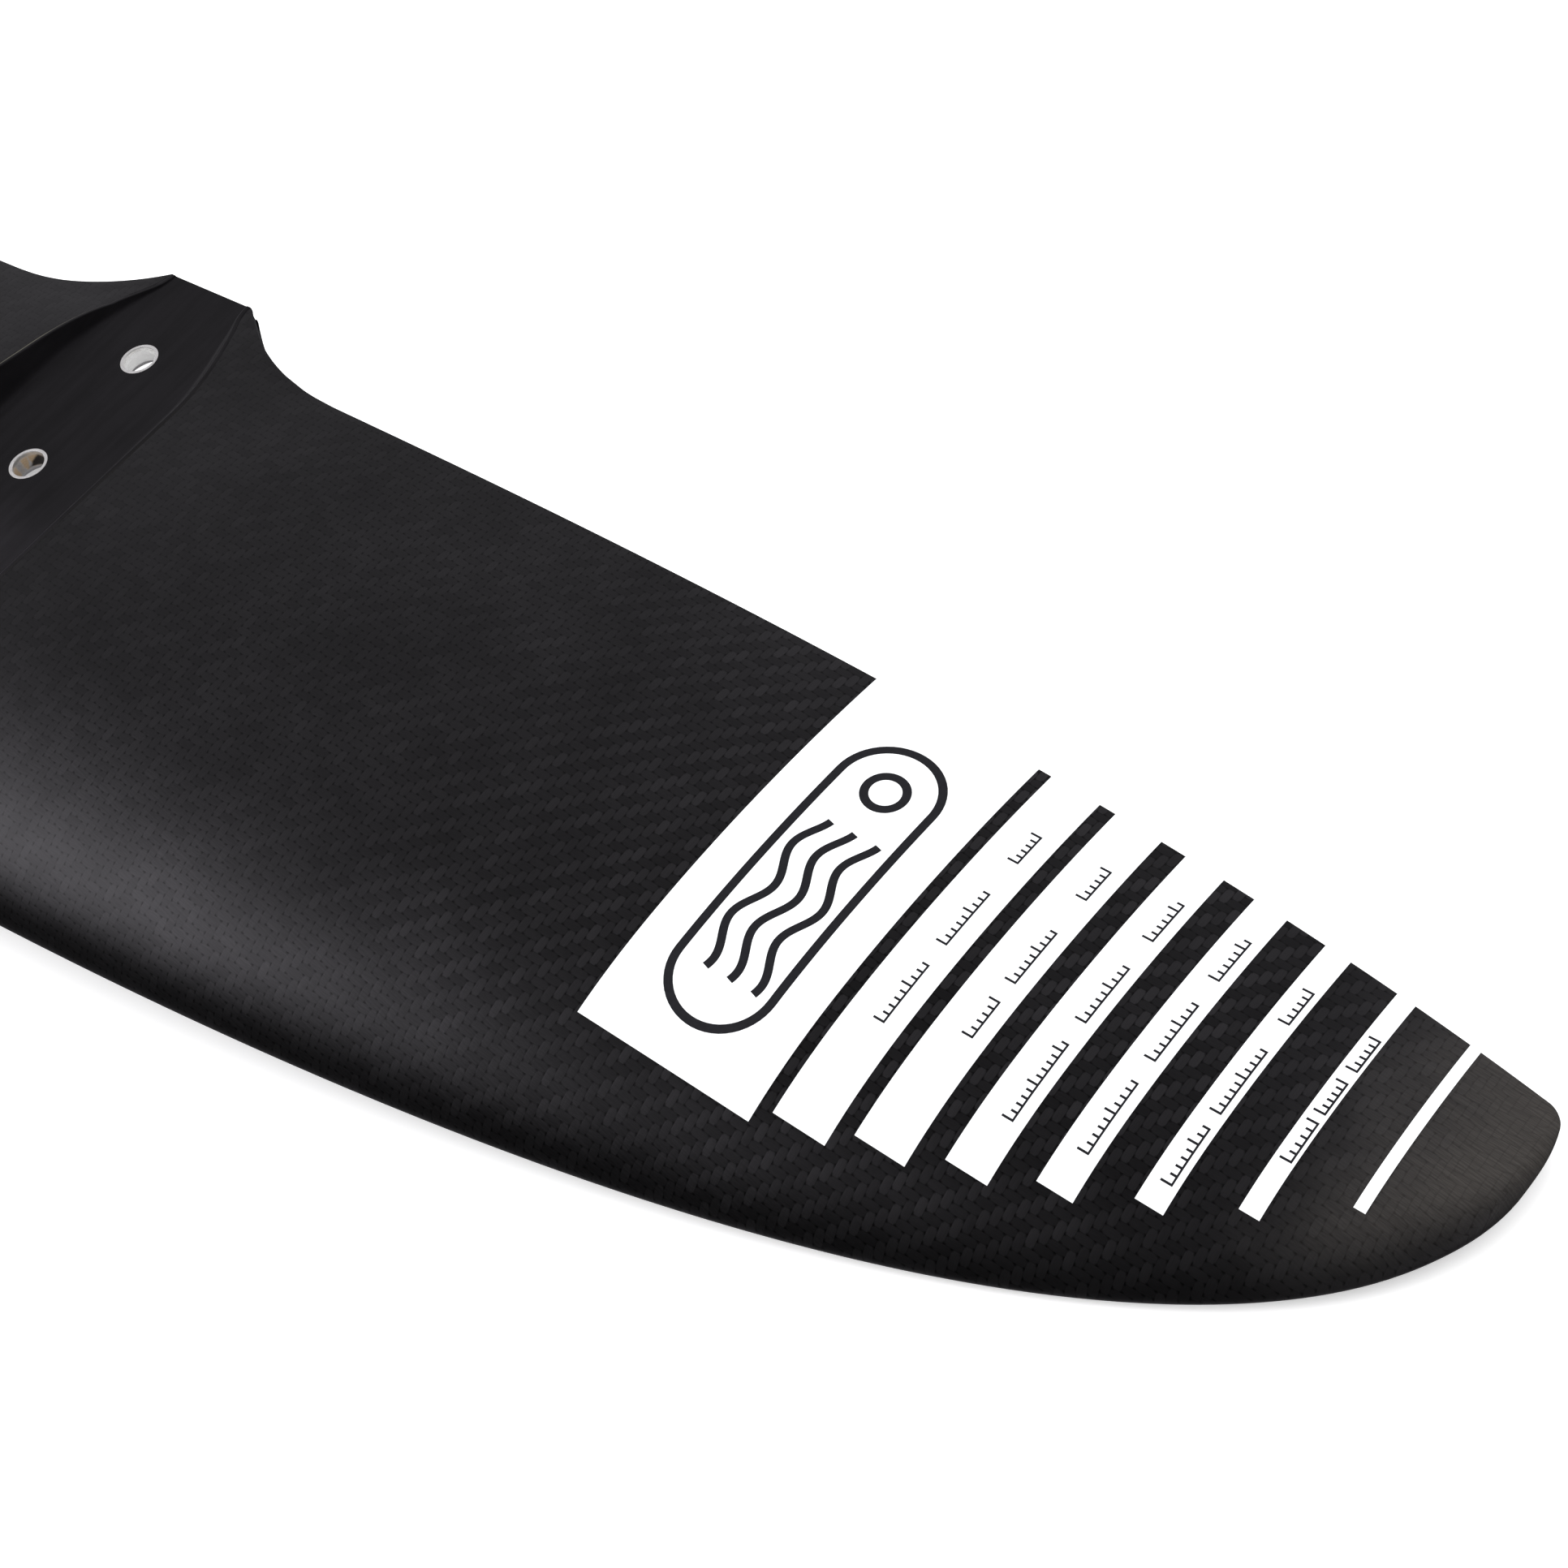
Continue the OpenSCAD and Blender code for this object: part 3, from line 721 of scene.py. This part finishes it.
def carbon_twill(name, sanded_tips=True):
    t = Tree(name)
    xyz = t.coords("Object")
    px, py, pz = t.split(xyz)
    uvs = t.split(t.uv("weave"))
    u0, v0 = uvs[0], uvs[1]
    # The cloth wanders a little as it is laid
    wander = t.noise(xyz, 9.0, 2.0, 0.5)
    wander2 = t.noise(t.vec(t.m("ADD", px, 3.1), py, pz), 11.0, 2.0, 0.5)
    u = t.m("ADD", u0, t.m("MULTIPLY", t.m("SUBTRACT", wander, 0.5), 0.0042))
    v = t.m("ADD", v0, t.m("MULTIPLY", t.m("SUBTRACT", wander2, 0.5), 0.0042))
    U = t.m("DIVIDE", u, TOW)
    V = t.m("DIVIDE", v, TOW)
    i = t.m("FLOOR", U)
    j = t.m("FLOOR", V)
    fu = t.m("ABSOLUTE", t.m("SUBTRACT", t.m("SUBTRACT", U, i), 0.5))
    fv = t.m("ABSOLUTE", t.m("SUBTRACT", t.m("SUBTRACT", V, j), 0.5))
    chord = t.m("LESS_THAN", t.m("FLOORED_MODULO", t.m("SUBTRACT", i, j), 4.0), 1.5)
    d = t.m("ABSOLUTE", t.m("SUBTRACT", t.m("FLOORED_MODULO", t.m("ADD", t.m("SUBTRACT", i, V), 2.0), 4.0), 2.0))
    e = t.m("ABSOLUTE", t.m("SUBTRACT", t.m("FLOORED_MODULO", t.m("SUBTRACT", t.m("SUBTRACT", U, j), 1.0), 4.0), 2.0))

    def dome(across, along):
        a = t.m("SUBTRACT", 1.0, t.m("POWER", t.m("MULTIPLY", across, 2.0), 3.2))
        b = t.m("SUBTRACT", 1.0, t.m("POWER", t.m("MINIMUM", along, 1.0), 3.0))
        return t.m("MULTIPLY", a, t.m("POWER", b, 0.7))

    hc, hspan = dome(fu, d), dome(fv, e)
    h = t.m("ADD", t.m("MULTIPLY", hc, chord), t.m("MULTIPLY", hspan, t.m("SUBTRACT", 1.0, chord)))
    # Each visible float of a tow has its own brightness
    float_c = t.m("FLOOR", t.m("DIVIDE", t.m("ADD", t.m("SUBTRACT", i, V), 1.0), 4.0))
    float_s = t.m("FLOOR", t.m("DIVIDE", t.m("SUBTRACT", U, j), 4.0))
    rc = t.white(t.vec(i, float_c, 1.0))
    rs = t.white(t.vec(j, float_s, 7.0))
    # Filaments along each tow
    fil_c = t.noise(t.vec(t.m("MULTIPLY", u, 9000.0), t.m("MULTIPLY", v, 260.0), t.m("MULTIPLY", i, 3.7)), 1.0, 2.0, 0.6)
    fil_s = t.noise(t.vec(t.m("MULTIPLY", v, 9000.0), t.m("MULTIPLY", u, 260.0), t.m("MULTIPLY", j, 5.3)), 1.0, 2.0, 0.6)
    # Painted sheen: the chordwise tows are made lighter and the spanwise ones darker, as the light picks them out; this
    # contrast is strongest between the stripes and fainter towards the root, the tips and the leading edge
    out = t.m("ABSOLUTE", px)
    show = t.m("MULTIPLY", t.ramp(out, 0.13, 0.29, 0.12, 1.0), t.ramp(out, 0.335, 0.385, 1.0, 0.22))
    show = t.m("MULTIPLY", show, t.ramp(t.m("SUBTRACT", py, t.m("MULTIPLY", t.m("POWER", out, 4.0), 2.4)), -0.118, -0.085, 0.45, 1.0))

    def level(rnd, fil, sign):
        a = t.m("ADD", 1.0, t.m("MULTIPLY", show, 0.33 * sign))
        b = t.m("ADD", 1.0, t.m("MULTIPLY", t.m("SUBTRACT", rnd, 0.5), t.m("ADD", 0.24, t.m("MULTIPLY", show, 0.22))))
        return t.m("MULTIPLY", t.m("MULTIPLY", a, b), t.ramp(fil, 0.25, 0.75, 0.88, 1.12, "LINEAR"))

    # Painted sheen: chordwise tows lighter, spanwise tows darker, by the contrast above
    lc, ls = level(rc, fil_c, 1.0), level(rs, fil_s, -1.0)
    lum = t.m("ADD", t.m("MULTIPLY", lc, chord), t.m("MULTIPLY", ls, t.m("SUBTRACT", 1.0, chord)))
    seam = t.m("SUBTRACT", 1.0, t.ramp(h, 0.0, 0.45))
    lum = t.m("MULTIPLY", lum, t.m("SUBTRACT", 1.0, t.m("MULTIPLY", seam, t.m("ADD", 0.10, t.m("MULTIPLY", show, 0.44)))))

    def pit(across, along):
        return t.m("MULTIPLY", t.ramp(across, 0.22, 0.46), t.ramp(along, 0.62, 0.95))

    pits = t.m("ADD", t.m("MULTIPLY", pit(fu, d), chord), t.m("MULTIPLY", pit(fv, e), t.m("SUBTRACT", 1.0, chord)))
    lum = t.m("MULTIPLY", lum, t.m("SUBTRACT", 1.0, t.m("MULTIPLY", pits, t.ramp(out, 0.02, 0.10, 0.30, 0.80))))
    # Painted shade: the carbon is made a little darker at the root and a little lighter outboard
    lum = t.m("MULTIPLY", lum, t.m("MULTIPLY", CARBON, t.ramp(out, 0.05, 0.16, 0.92, 1.06)))
    blotch = t.ramp(t.noise(xyz, 26.0, 3.0, 0.55), 0.3, 0.7, 0.80, 1.20, "LINEAR")
    lum = t.m("MULTIPLY", lum, blotch)
    col = t.tint((1.0, 0.965, 1.02), lum)
    # Scratches that run along the span, from flatting the lacquer
    scr = t.noise(t.vec(t.m("MULTIPLY", px, 120.0), t.m("MULTIPLY", py, 5200.0), t.m("MULTIPLY", pz, 2200.0)), 1.0, 3.0, 0.65)
    scr2 = t.noise(t.vec(t.m("MULTIPLY", px, 35.0), t.m("MULTIPLY", t.m("ADD", py, t.m("MULTIPLY", px, 0.18)), 2600.0), 3.0), 1.0, 2.0, 0.6)
    scratch = t.m("MULTIPLY", t.m("ADD", scr, scr2), 0.5)
    # Near the nose, where the highlight lies, the scratches also streak the colour: real scratches, with painted sheen
    # on them
    nose = t.ramp(py, -0.085, -0.11)
    col = t.tint(col, t.m("ADD", 1.0, t.m("MULTIPLY", nose, t.m("MULTIPLY", t.m("SUBTRACT", scratch, 0.5), 1.5))))
    rough = t.m("ADD", 0.40, t.m("MULTIPLY", t.m("SUBTRACT", scratch, 0.5), 0.22))
    relief = t.m("ADD", 0.9e-5, t.m("MULTIPLY", show, 1.9e-5))
    height = t.m("ADD", t.m("MULTIPLY", h, relief), t.m("MULTIPLY", scratch, 3.0e-6))
    metal = 0.92
    if sanded_tips:
        ax = t.m("ABSOLUTE", px)
        edge_noise = t.m("MULTIPLY", t.m("SUBTRACT", t.noise(xyz, 60.0, 3.0, 0.6), 0.5), 0.016)
        s = t.ramp(t.m("ADD", ax, edge_noise), 0.358, 0.403)
        # Painted shade: the paler sanded colour fades out before the leading edge, where the front of the tip lies in
        # shade
        cx = t.m("DIVIDE", t.m("SUBTRACT", ax, 0.36), 0.045)
        front = t.m("ADD", -0.077, t.m("MULTIPLY", t.m("POWER", t.m("MAXIMUM", cx, 0.0), 2.0), 0.034))
        s = t.m("MULTIPLY", s, t.ramp(py, front, t.m("ADD", front, 0.022)))
        tipcol = t.tint(t.mix(t.ramp(scratch, 0.36, 0.64), (0.0310, 0.0280, 0.0252), (0.054, 0.049, 0.0445)),
                        t.ramp(h, 0.0, 0.5, 0.80, 1.0))
        col = t.mix(s, col, tipcol)
        metal = t.m("SUBTRACT", 0.92, t.m("MULTIPLY", s, 0.55))
        rough = t.m("ADD", rough, t.m("MULTIPLY", s, 0.10))
        height = t.m("ADD", t.m("MULTIPLY", h, t.m("SUBTRACT", relief, t.m("MULTIPLY", s, 0.5e-5))),
                     t.m("MULTIPLY", scratch, t.m("ADD", 2.5e-6, t.m("MULTIPLY", s, 9e-6))))
    fine = t.bump(t.m("MULTIPLY", scratch, 1.6e-6))
    return t.set(color=col, rough=rough, metal=metal, normal=t.bump(height), spec=0.35, coat=0.42,
                 coat_rough=0.27, coat_ior=1.5, coat_normal=fine)


CARBON = 0.031


def seat_material():
    """Smooth laminate of the channel, with its long plies showing faintly."""
    t = Tree("seat_laminate")
    xyz = t.coords("Object")
    x, y, z = t.split(xyz)
    ply = t.noise(t.vec(t.m("MULTIPLY", x, 260.0), t.m("MULTIPLY", y, 26.0), 0.0), 1.0, 3.0, 0.55, 0.4)
    ply2 = t.noise(t.vec(t.m("MULTIPLY", x, 2600.0), t.m("MULTIPLY", y, 90.0), 4.0), 1.0, 2.0, 0.6)
    blot = t.noise(xyz, 70.0, 4.0, 0.6)
    lum = t.m("MULTIPLY", t.ramp(ply, 0.3, 0.7, 0.78, 1.22), t.ramp(ply2, 0.2, 0.8, 0.92, 1.08, "LINEAR"))
    lum = t.m("MULTIPLY", lum, t.ramp(blot, 0.3, 0.7, 0.9, 1.1))
    # Painted highlight: the cut upper edge of the tray is made paler and olive, most on the left side and towards the
    # front, for the light that its rounded rim catches
    off = t.split(t.uv("tray"))[0]
    edge = t.m("MULTIPLY", t.ramp(off, 0.00085, 0.00105), t.ramp(y, -0.012, 0.012, 1.0, 0.0))
    edge = t.m("MULTIPLY", edge, t.ramp(x, -0.002, 0.002, 1.0, 0.12))
    edge = t.m("MULTIPLY", edge, t.ramp(blot, 0.3, 0.7, 0.75, 1.1))
    # Painted light: the front of the tray is made nearly twice as bright, where it catches the light
    lum = t.m("MULTIPLY", lum, t.ramp(y, -0.066, -0.045, 1.9, 1.0))
    dark = t.tint((0.0158, 0.0146, 0.0166), lum)
    col = t.mix(edge, dark, (0.074, 0.071, 0.052))
    rough = t.m("ADD", 0.36, t.m("MULTIPLY", t.m("SUBTRACT", blot, 0.5), 0.16))
    height = t.m("ADD", t.m("MULTIPLY", ply, 3.0e-5), t.m("MULTIPLY", t.noise(xyz, 420.0, 3.0, 0.6), 3.0e-6))
    metal = t.m("SUBTRACT", 0.9, t.m("MULTIPLY", edge, 0.75))
    return t.set(color=col, rough=rough, metal=metal, normal=t.bump(height), spec=0.35, coat=0.27, coat_rough=0.3,
                 coat_ior=1.48)


def white_print(name, base=(0.86, 0.875, 0.885)):
    """Opaque white ink under satin lacquer."""
    t = Tree(name)
    xyz = t.coords("Object")
    n = t.noise(xyz, 900.0, 4.0, 0.6)
    cloud = t.noise(xyz, 40.0, 2.0, 0.5)
    col = t.tint(base, t.m("MULTIPLY", t.ramp(cloud, 0.3, 0.7, 0.985, 1.0), t.ramp(n, 0.2, 0.8, 0.985, 1.0)))
    rough = t.m("ADD", 0.34, t.m("MULTIPLY", t.m("SUBTRACT", n, 0.5), 0.12))
    return t.set(color=col, rough=rough, metal=0.0, normal=t.bump(t.m("MULTIPLY", n, 1.2e-6)), spec=0.4, coat=0.2,
                 coat_rough=0.3)


def ink_print():
    t = Tree("print_black")
    xyz = t.coords("Object")
    n = t.noise(xyz, 1200.0, 4.0, 0.6)
    col = t.tint((0.0085, 0.0085, 0.0105), t.ramp(n, 0.2, 0.8, 0.75, 1.25))
    return t.set(color=col, rough=t.ramp(n, 0.2, 0.8, 0.38, 0.5), metal=0.0, normal=t.bump(t.m("MULTIPLY", n, 1.2e-6)),
                 spec=0.3)


def steel():
    """Turned stainless steel: fine rings round each screw's axis."""
    t = Tree("ferrule_steel")
    x, y, z = t.split(t.coords("Object"))
    yr = t.m("SUBTRACT", t.m("FLOORED_MODULO", t.m("ADD", y, 0.0407 * 2.5), 0.0407), 0.02035)
    r = t.m("SQRT", t.m("ADD", t.m("MULTIPLY", x, x), t.m("MULTIPLY", yr, yr)))
    rings = t.noise(t.vec(t.m("MULTIPLY", r, 16000.0), t.m("MULTIPLY", z, 16000.0), 0.0), 1.0, 2.0, 0.6)
    grime = t.noise(t.vec(t.m("MULTIPLY", x, 1.0), y, z), 420.0, 4.0, 0.6)
    col = t.mix(t.ramp(grime, 0.35, 0.75), (0.95, 0.94, 0.93), (0.80, 0.785, 0.76))
    # Inside the bore of the front two the metal turns tan, in patches
    deep = t.m("MULTIPLY", t.ramp(z, -0.0003, -0.0016), t.ramp(t.noise(t.vec(x, y, t.m("MULTIPLY", z, 0.4)), 300.0, 3.0, 0.6), 0.40, 0.56))
    bore = t.m("MULTIPLY", t.ramp(z, -0.0003, -0.0016), t.ramp(z, -0.0050, -0.0044))
    front_pair = t.ramp(y, -0.02, -0.036)
    deep = t.m("MULTIPLY", deep, t.m("MULTIPLY", front_pair, t.ramp(z, -0.0052, -0.0046)))
    col = t.mix(deep, col, (0.62, 0.47, 0.31))
    # Painted shade: black lower down in the bore of the front two, to one side, for the shadow in the hole
    painted_bore_shade = t.ramp(t.m("SUBTRACT", t.m("ADD", z, t.m("MULTIPLY", t.m("SUBTRACT", grime, 0.5), 0.0012)), t.m("MULTIPLY", t.m("ADD", x, yr), 0.75)), -0.0022, -0.0034)
    painted_bore_shade = t.m("MULTIPLY", t.m("MULTIPLY", painted_bore_shade, bore), front_pair)
    col = t.mix(painted_bore_shade, col, (0.022, 0.018, 0.015))
    # Painted light: a pale wall in the rear one stands in for the lit table that the photograph shows through it
    painted_table_light = t.m("MULTIPLY", bore, t.m("SUBTRACT", 1.0, front_pair))
    col = t.mix(painted_table_light, col, (0.97, 0.97, 0.96))
    rough = t.m("ADD", 0.24, t.m("ADD", t.m("MULTIPLY", t.m("SUBTRACT", rings, 0.5), 0.14), t.m("MULTIPLY", grime, 0.1)))
    metal = t.m("SUBTRACT", 0.82, t.m("MAXIMUM", t.m("MULTIPLY", deep, 0.45), t.m("MAXIMUM", t.m("MULTIPLY", painted_bore_shade, 0.7), t.m("MULTIPLY", painted_table_light, 0.6))))
    return t.set(color=col, rough=rough, metal=metal, normal=t.bump(t.m("MULTIPLY", rings, 3.0e-6)), spec=0.5)


def laminate():
    """Solid laminate: plies seen on edge as fine layers."""
    t = Tree("solid_laminate")
    xyz = t.coords("Object")
    x, y, z = t.split(xyz)
    wave = t.m("ADD", z, t.m("MULTIPLY", t.noise(xyz, 35.0, 2.0, 0.5), 0.0012))
    plies = t.m("SINE", t.m("MULTIPLY", wave, 2 * math.pi / 0.00032))
    grain = t.noise(t.vec(t.m("MULTIPLY", x, 90.0), t.m("MULTIPLY", y, 1800.0), t.m("MULTIPLY", z, 3000.0)), 1.0, 3.0, 0.6)
    lum = t.m("MULTIPLY", t.ramp(plies, -1.0, 1.0, 0.7, 1.25), t.ramp(grain, 0.25, 0.75, 0.8, 1.2))
    col = t.tint((0.030, 0.0295, 0.0325), lum)
    rough = t.ramp(grain, 0.2, 0.8, 0.42, 0.62)
    h = t.m("ADD", t.m("MULTIPLY", plies, 6e-6), t.m("MULTIPLY", grain, 6e-6))
    return t.set(color=col, rough=rough, metal=0.15, normal=t.bump(h), spec=0.4)


def unidirectional():
    """Spar cap: straight filaments along the span."""
    t = Tree("spar_carbon")
    x, y, z = t.split(t.coords("Object"))
    a = t.noise(t.vec(t.m("MULTIPLY", x, 40.0), t.m("MULTIPLY", y, 5200.0), t.m("MULTIPLY", z, 5200.0)), 1.0, 3.0, 0.6)
    b = t.noise(t.vec(t.m("MULTIPLY", x, 8.0), t.m("MULTIPLY", y, 420.0), 0.0), 1.0, 2.0, 0.5)
    col = t.tint((0.045, 0.045, 0.050), t.m("MULTIPLY", t.ramp(a, 0.25, 0.75, 0.7, 1.3), t.ramp(b, 0.3, 0.7, 0.85, 1.15)))
    return t.set(color=col, rough=t.ramp(a, 0.2, 0.8, 0.34, 0.5), metal=0.6, normal=t.bump(t.m("MULTIPLY", a, 9e-6)),
                 spec=0.4)


def foam(name, c0, c1):
    """Closed-cell foam: packed cells a third of a millimetre across."""
    t = Tree(name)
    xyz = t.coords("Object")
    n = t.t.nodes.new("ShaderNodeTexVoronoi")
    t.put(n.inputs["Vector"], xyz)
    n.inputs["Scale"].default_value = 2600.0
    cell = n.outputs["Distance"]
    big = t.noise(xyz, 50.0, 3.0, 0.6)
    col = t.tint(t.mix(t.ramp(big, 0.3, 0.7), c0, c1), t.ramp(cell, 0.1, 0.7, 1.05, 0.72))
    return t.set(color=col, rough=t.ramp(cell, 0.0, 0.8, 0.75, 0.95), metal=0.0,
                 normal=t.bump(t.m("MULTIPLY", cell, -6e-5)), spec=0.2)


# ---------------------------------------------------------------- the build

twill = carbon_twill("carbon_twill")
seat = seat_material()
white = white_print("print_white")
ink = ink_print()
metal = steel()
solid = laminate()
ud = unidirectional()
core = foam("foam_core", (0.70, 0.64, 0.44), (0.76, 0.71, 0.52))
web = foam("web_core", (0.085, 0.085, 0.09), (0.12, 0.12, 0.125))


def finish_piece(ob, mat, slot, *stands_for):
    ob.data.materials.clear()
    ob.data.materials.append(mat)
    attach(ob, "root")
    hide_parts(*stands_for)
    return ob


upper, lower = skins()
finish_piece(upper, twill, "carbon_twill", "upper_skin")
finish_piece(lower, twill, "carbon_twill", "lower_skin")
finish_piece(seat_liner(), seat, "seat_laminate", "seat_liner")
for i, where in enumerate(("rear", "middle", "front")):
    finish_piece(ferrule("screw_ferrule_" + where, i), metal, "ferrule_steel", "ferrule_" + where)
for side, word in ((1, "right"), (-1, "left")):
    finish_piece(film("panel_print_" + word, 228.3, 272.4, -91.7, side), white, "print_white", "print_panel_" + word)
    stripes = [film("s", a, 272.4 + 16.15 * (i + 1), f, side) for i, (a, f) in enumerate(zip(STRIPE_IN, STRIPE_FRONT))]
    finish_piece(join("stripes_print_" + word, stripes), white, "print_white", "print_stripes_" + word)
    finish_piece(ink_marks("marks_print_" + word, side), ink, "print_black", "print_marks_" + word)

inner = {"leading_edge_joint": solid, "mount_block": solid}
for word in ("left", "right"):
    inner.update({
        "trailing_edge_strip_" + word: solid, "tip_block_" + word: solid, "spar_cap_upper_" + word: ud,
        "spar_cap_lower_" + word: ud, "spar_web_" + word: web, "nose_core_" + word: core, "tail_core_" + word: core})
for name, ob in nodes.items():
    mat = inner.get(name)
    if mat is None:
        mat = (twill if "skin" in name else seat if "liner" in name else metal if "ferrule" in name
               else ink if "marks" in name else white)
        if "skin" in name:
            mat = solid
    ob.data.materials.clear()
    ob.data.materials.append(mat)

# ---------------------------------------------------------------- the stage

FLOOR_Z = cad_box[0][2]
bm = bmesh.new()
bmesh.ops.create_grid(bm, x_segments=2, y_segments=2, size=6.0)
me = bpy.data.meshes.new("stage_floor")
bm.to_mesh(me)
bm.free()
floor = bpy.data.objects.new("stage_floor", me)
floor.location = (0, 0, FLOOR_Z - 0.0001)
scene.collection.objects.link(floor)
t = Tree("stage_white")
n = t.noise(t.coords("Object"), 1500.0, 2.0, 0.5)
t.set(color=t.tint((0.82, 0.82, 0.82), t.ramp(n, 0.2, 0.8, 0.985, 1.0)), rough=0.9, spec=0.0)
t.b.inputs["Emission Color"].default_value = (1.0, 1.0, 1.0, 1.0)
t.b.inputs["Emission Strength"].default_value = 0.42
floor.data.materials.append(t.mat)
floor.visible_glossy = False


def world():
    """A soft studio: the boxes seen in the glossy surfaces. The lamp overhead lights the matt ones."""
    w = bpy.data.worlds.new("studio")
    scene.world = w
    w.use_nodes = True
    t = w.node_tree
    t.nodes.clear()

    def node(kind, **kw):
        n = t.nodes.new(kind)
        for k, v in kw.items():
            setattr(n, k, v)
        return n

    def put(s, v):
        if isinstance(v, bpy.types.NodeSocket):
            t.links.new(v, s)
        else:
            s.default_value = v

    def m(op, a, b=None, c=None):
        n = node("ShaderNodeMath", operation=op)
        for s, v in zip(n.inputs, (a, b, c)):
            if v is not None:
                put(s, v)
        return n.outputs[0]

    d = node("ShaderNodeTexCoord").outputs["Generated"]

    def lobe(v, power, width):
        n = node("ShaderNodeVectorMath", operation="DOT_PRODUCT")
        put(n.inputs[0], d)
        put(n.inputs[1], tuple(Vector(v).normalized()))
        return m("MULTIPLY", m("EXPONENT", m("MULTIPLY", m("SUBTRACT", n.outputs["Value"], 1.0), 1.0 / width)), power)

    total = BASE_GLOW
    for v, power, width in LOBES:
        total = m("ADD", total, lobe(v, power, width))
    shine = node("ShaderNodeBackground")
    c = node("ShaderNodeCombineColor")
    for s, k in zip(c.inputs, (1.0, 0.975, 1.03)):
        put(s, m("MULTIPLY", total, k))
    put(shine.inputs[0], c.outputs[0])
    put(node("ShaderNodeOutputWorld").inputs[0], shine.outputs[0])


BASE_GLOW = 0.018
# Direction, radiance and angular width of each soft box seen in the gloss
LOBES = [((-0.57, -0.38, 0.735), 3.35, 0.024), ((-0.60, -0.20, 0.775), 0.50, 0.035), ((-0.40, 0.62, 0.67), 0.27, 0.20), ((-0.95, 0.25, 0.2), 0.30, 0.10),
         ((0.25, 0.95, 0.2), 0.55, 0.12), ((0.95, -0.2, 0.15), 0.35, 0.12), ((0.0, -0.2, -1.0), 0.20, 0.35)]
world()

key = bpy.data.lights.new("key", "AREA")
key.shape = "SQUARE"
key.size = 4.0
key.energy = 125.0
lamp = bpy.data.objects.new("key", key)
lamp.location = (0.15, -0.05, 2.0)
lamp.visible_glossy = False
lamp.visible_camera = False
scene.collection.objects.link(lamp)

# --------------------------------------------------------------- the camera


def camera():
    az, el, roll = (math.radians(v) for v in (53.557, 49.727, 20.077))
    back = Vector((math.sin(az) * math.cos(el), -math.cos(az) * math.cos(el), math.sin(el)))
    right = Vector((math.cos(az), math.sin(az), 0.0))
    up = back.cross(right)
    ix = right * math.cos(roll) - up * math.sin(roll)
    iy = right * math.sin(roll) + up * math.cos(roll)
    c = bpy.data.cameras.new("photo")
    c.sensor_width = 36.0
    c.lens = 3559.0 / 1932.0 * 36.0
    c.clip_start, c.clip_end = 0.01, 50.0
    ob = bpy.data.objects.new("photo", c)
    ob.matrix_world = Matrix.Translation(Vector((0.553052, -0.261792, 0.462409))) @ Matrix(
        ((ix.x, iy.x, back.x), (ix.y, iy.y, back.y), (ix.z, iy.z, back.z))).to_4x4()
    scene.collection.objects.link(ob)
    scene.camera = ob


camera()
scene.view_settings.view_transform = "Standard"
scene.view_settings.look = "None"
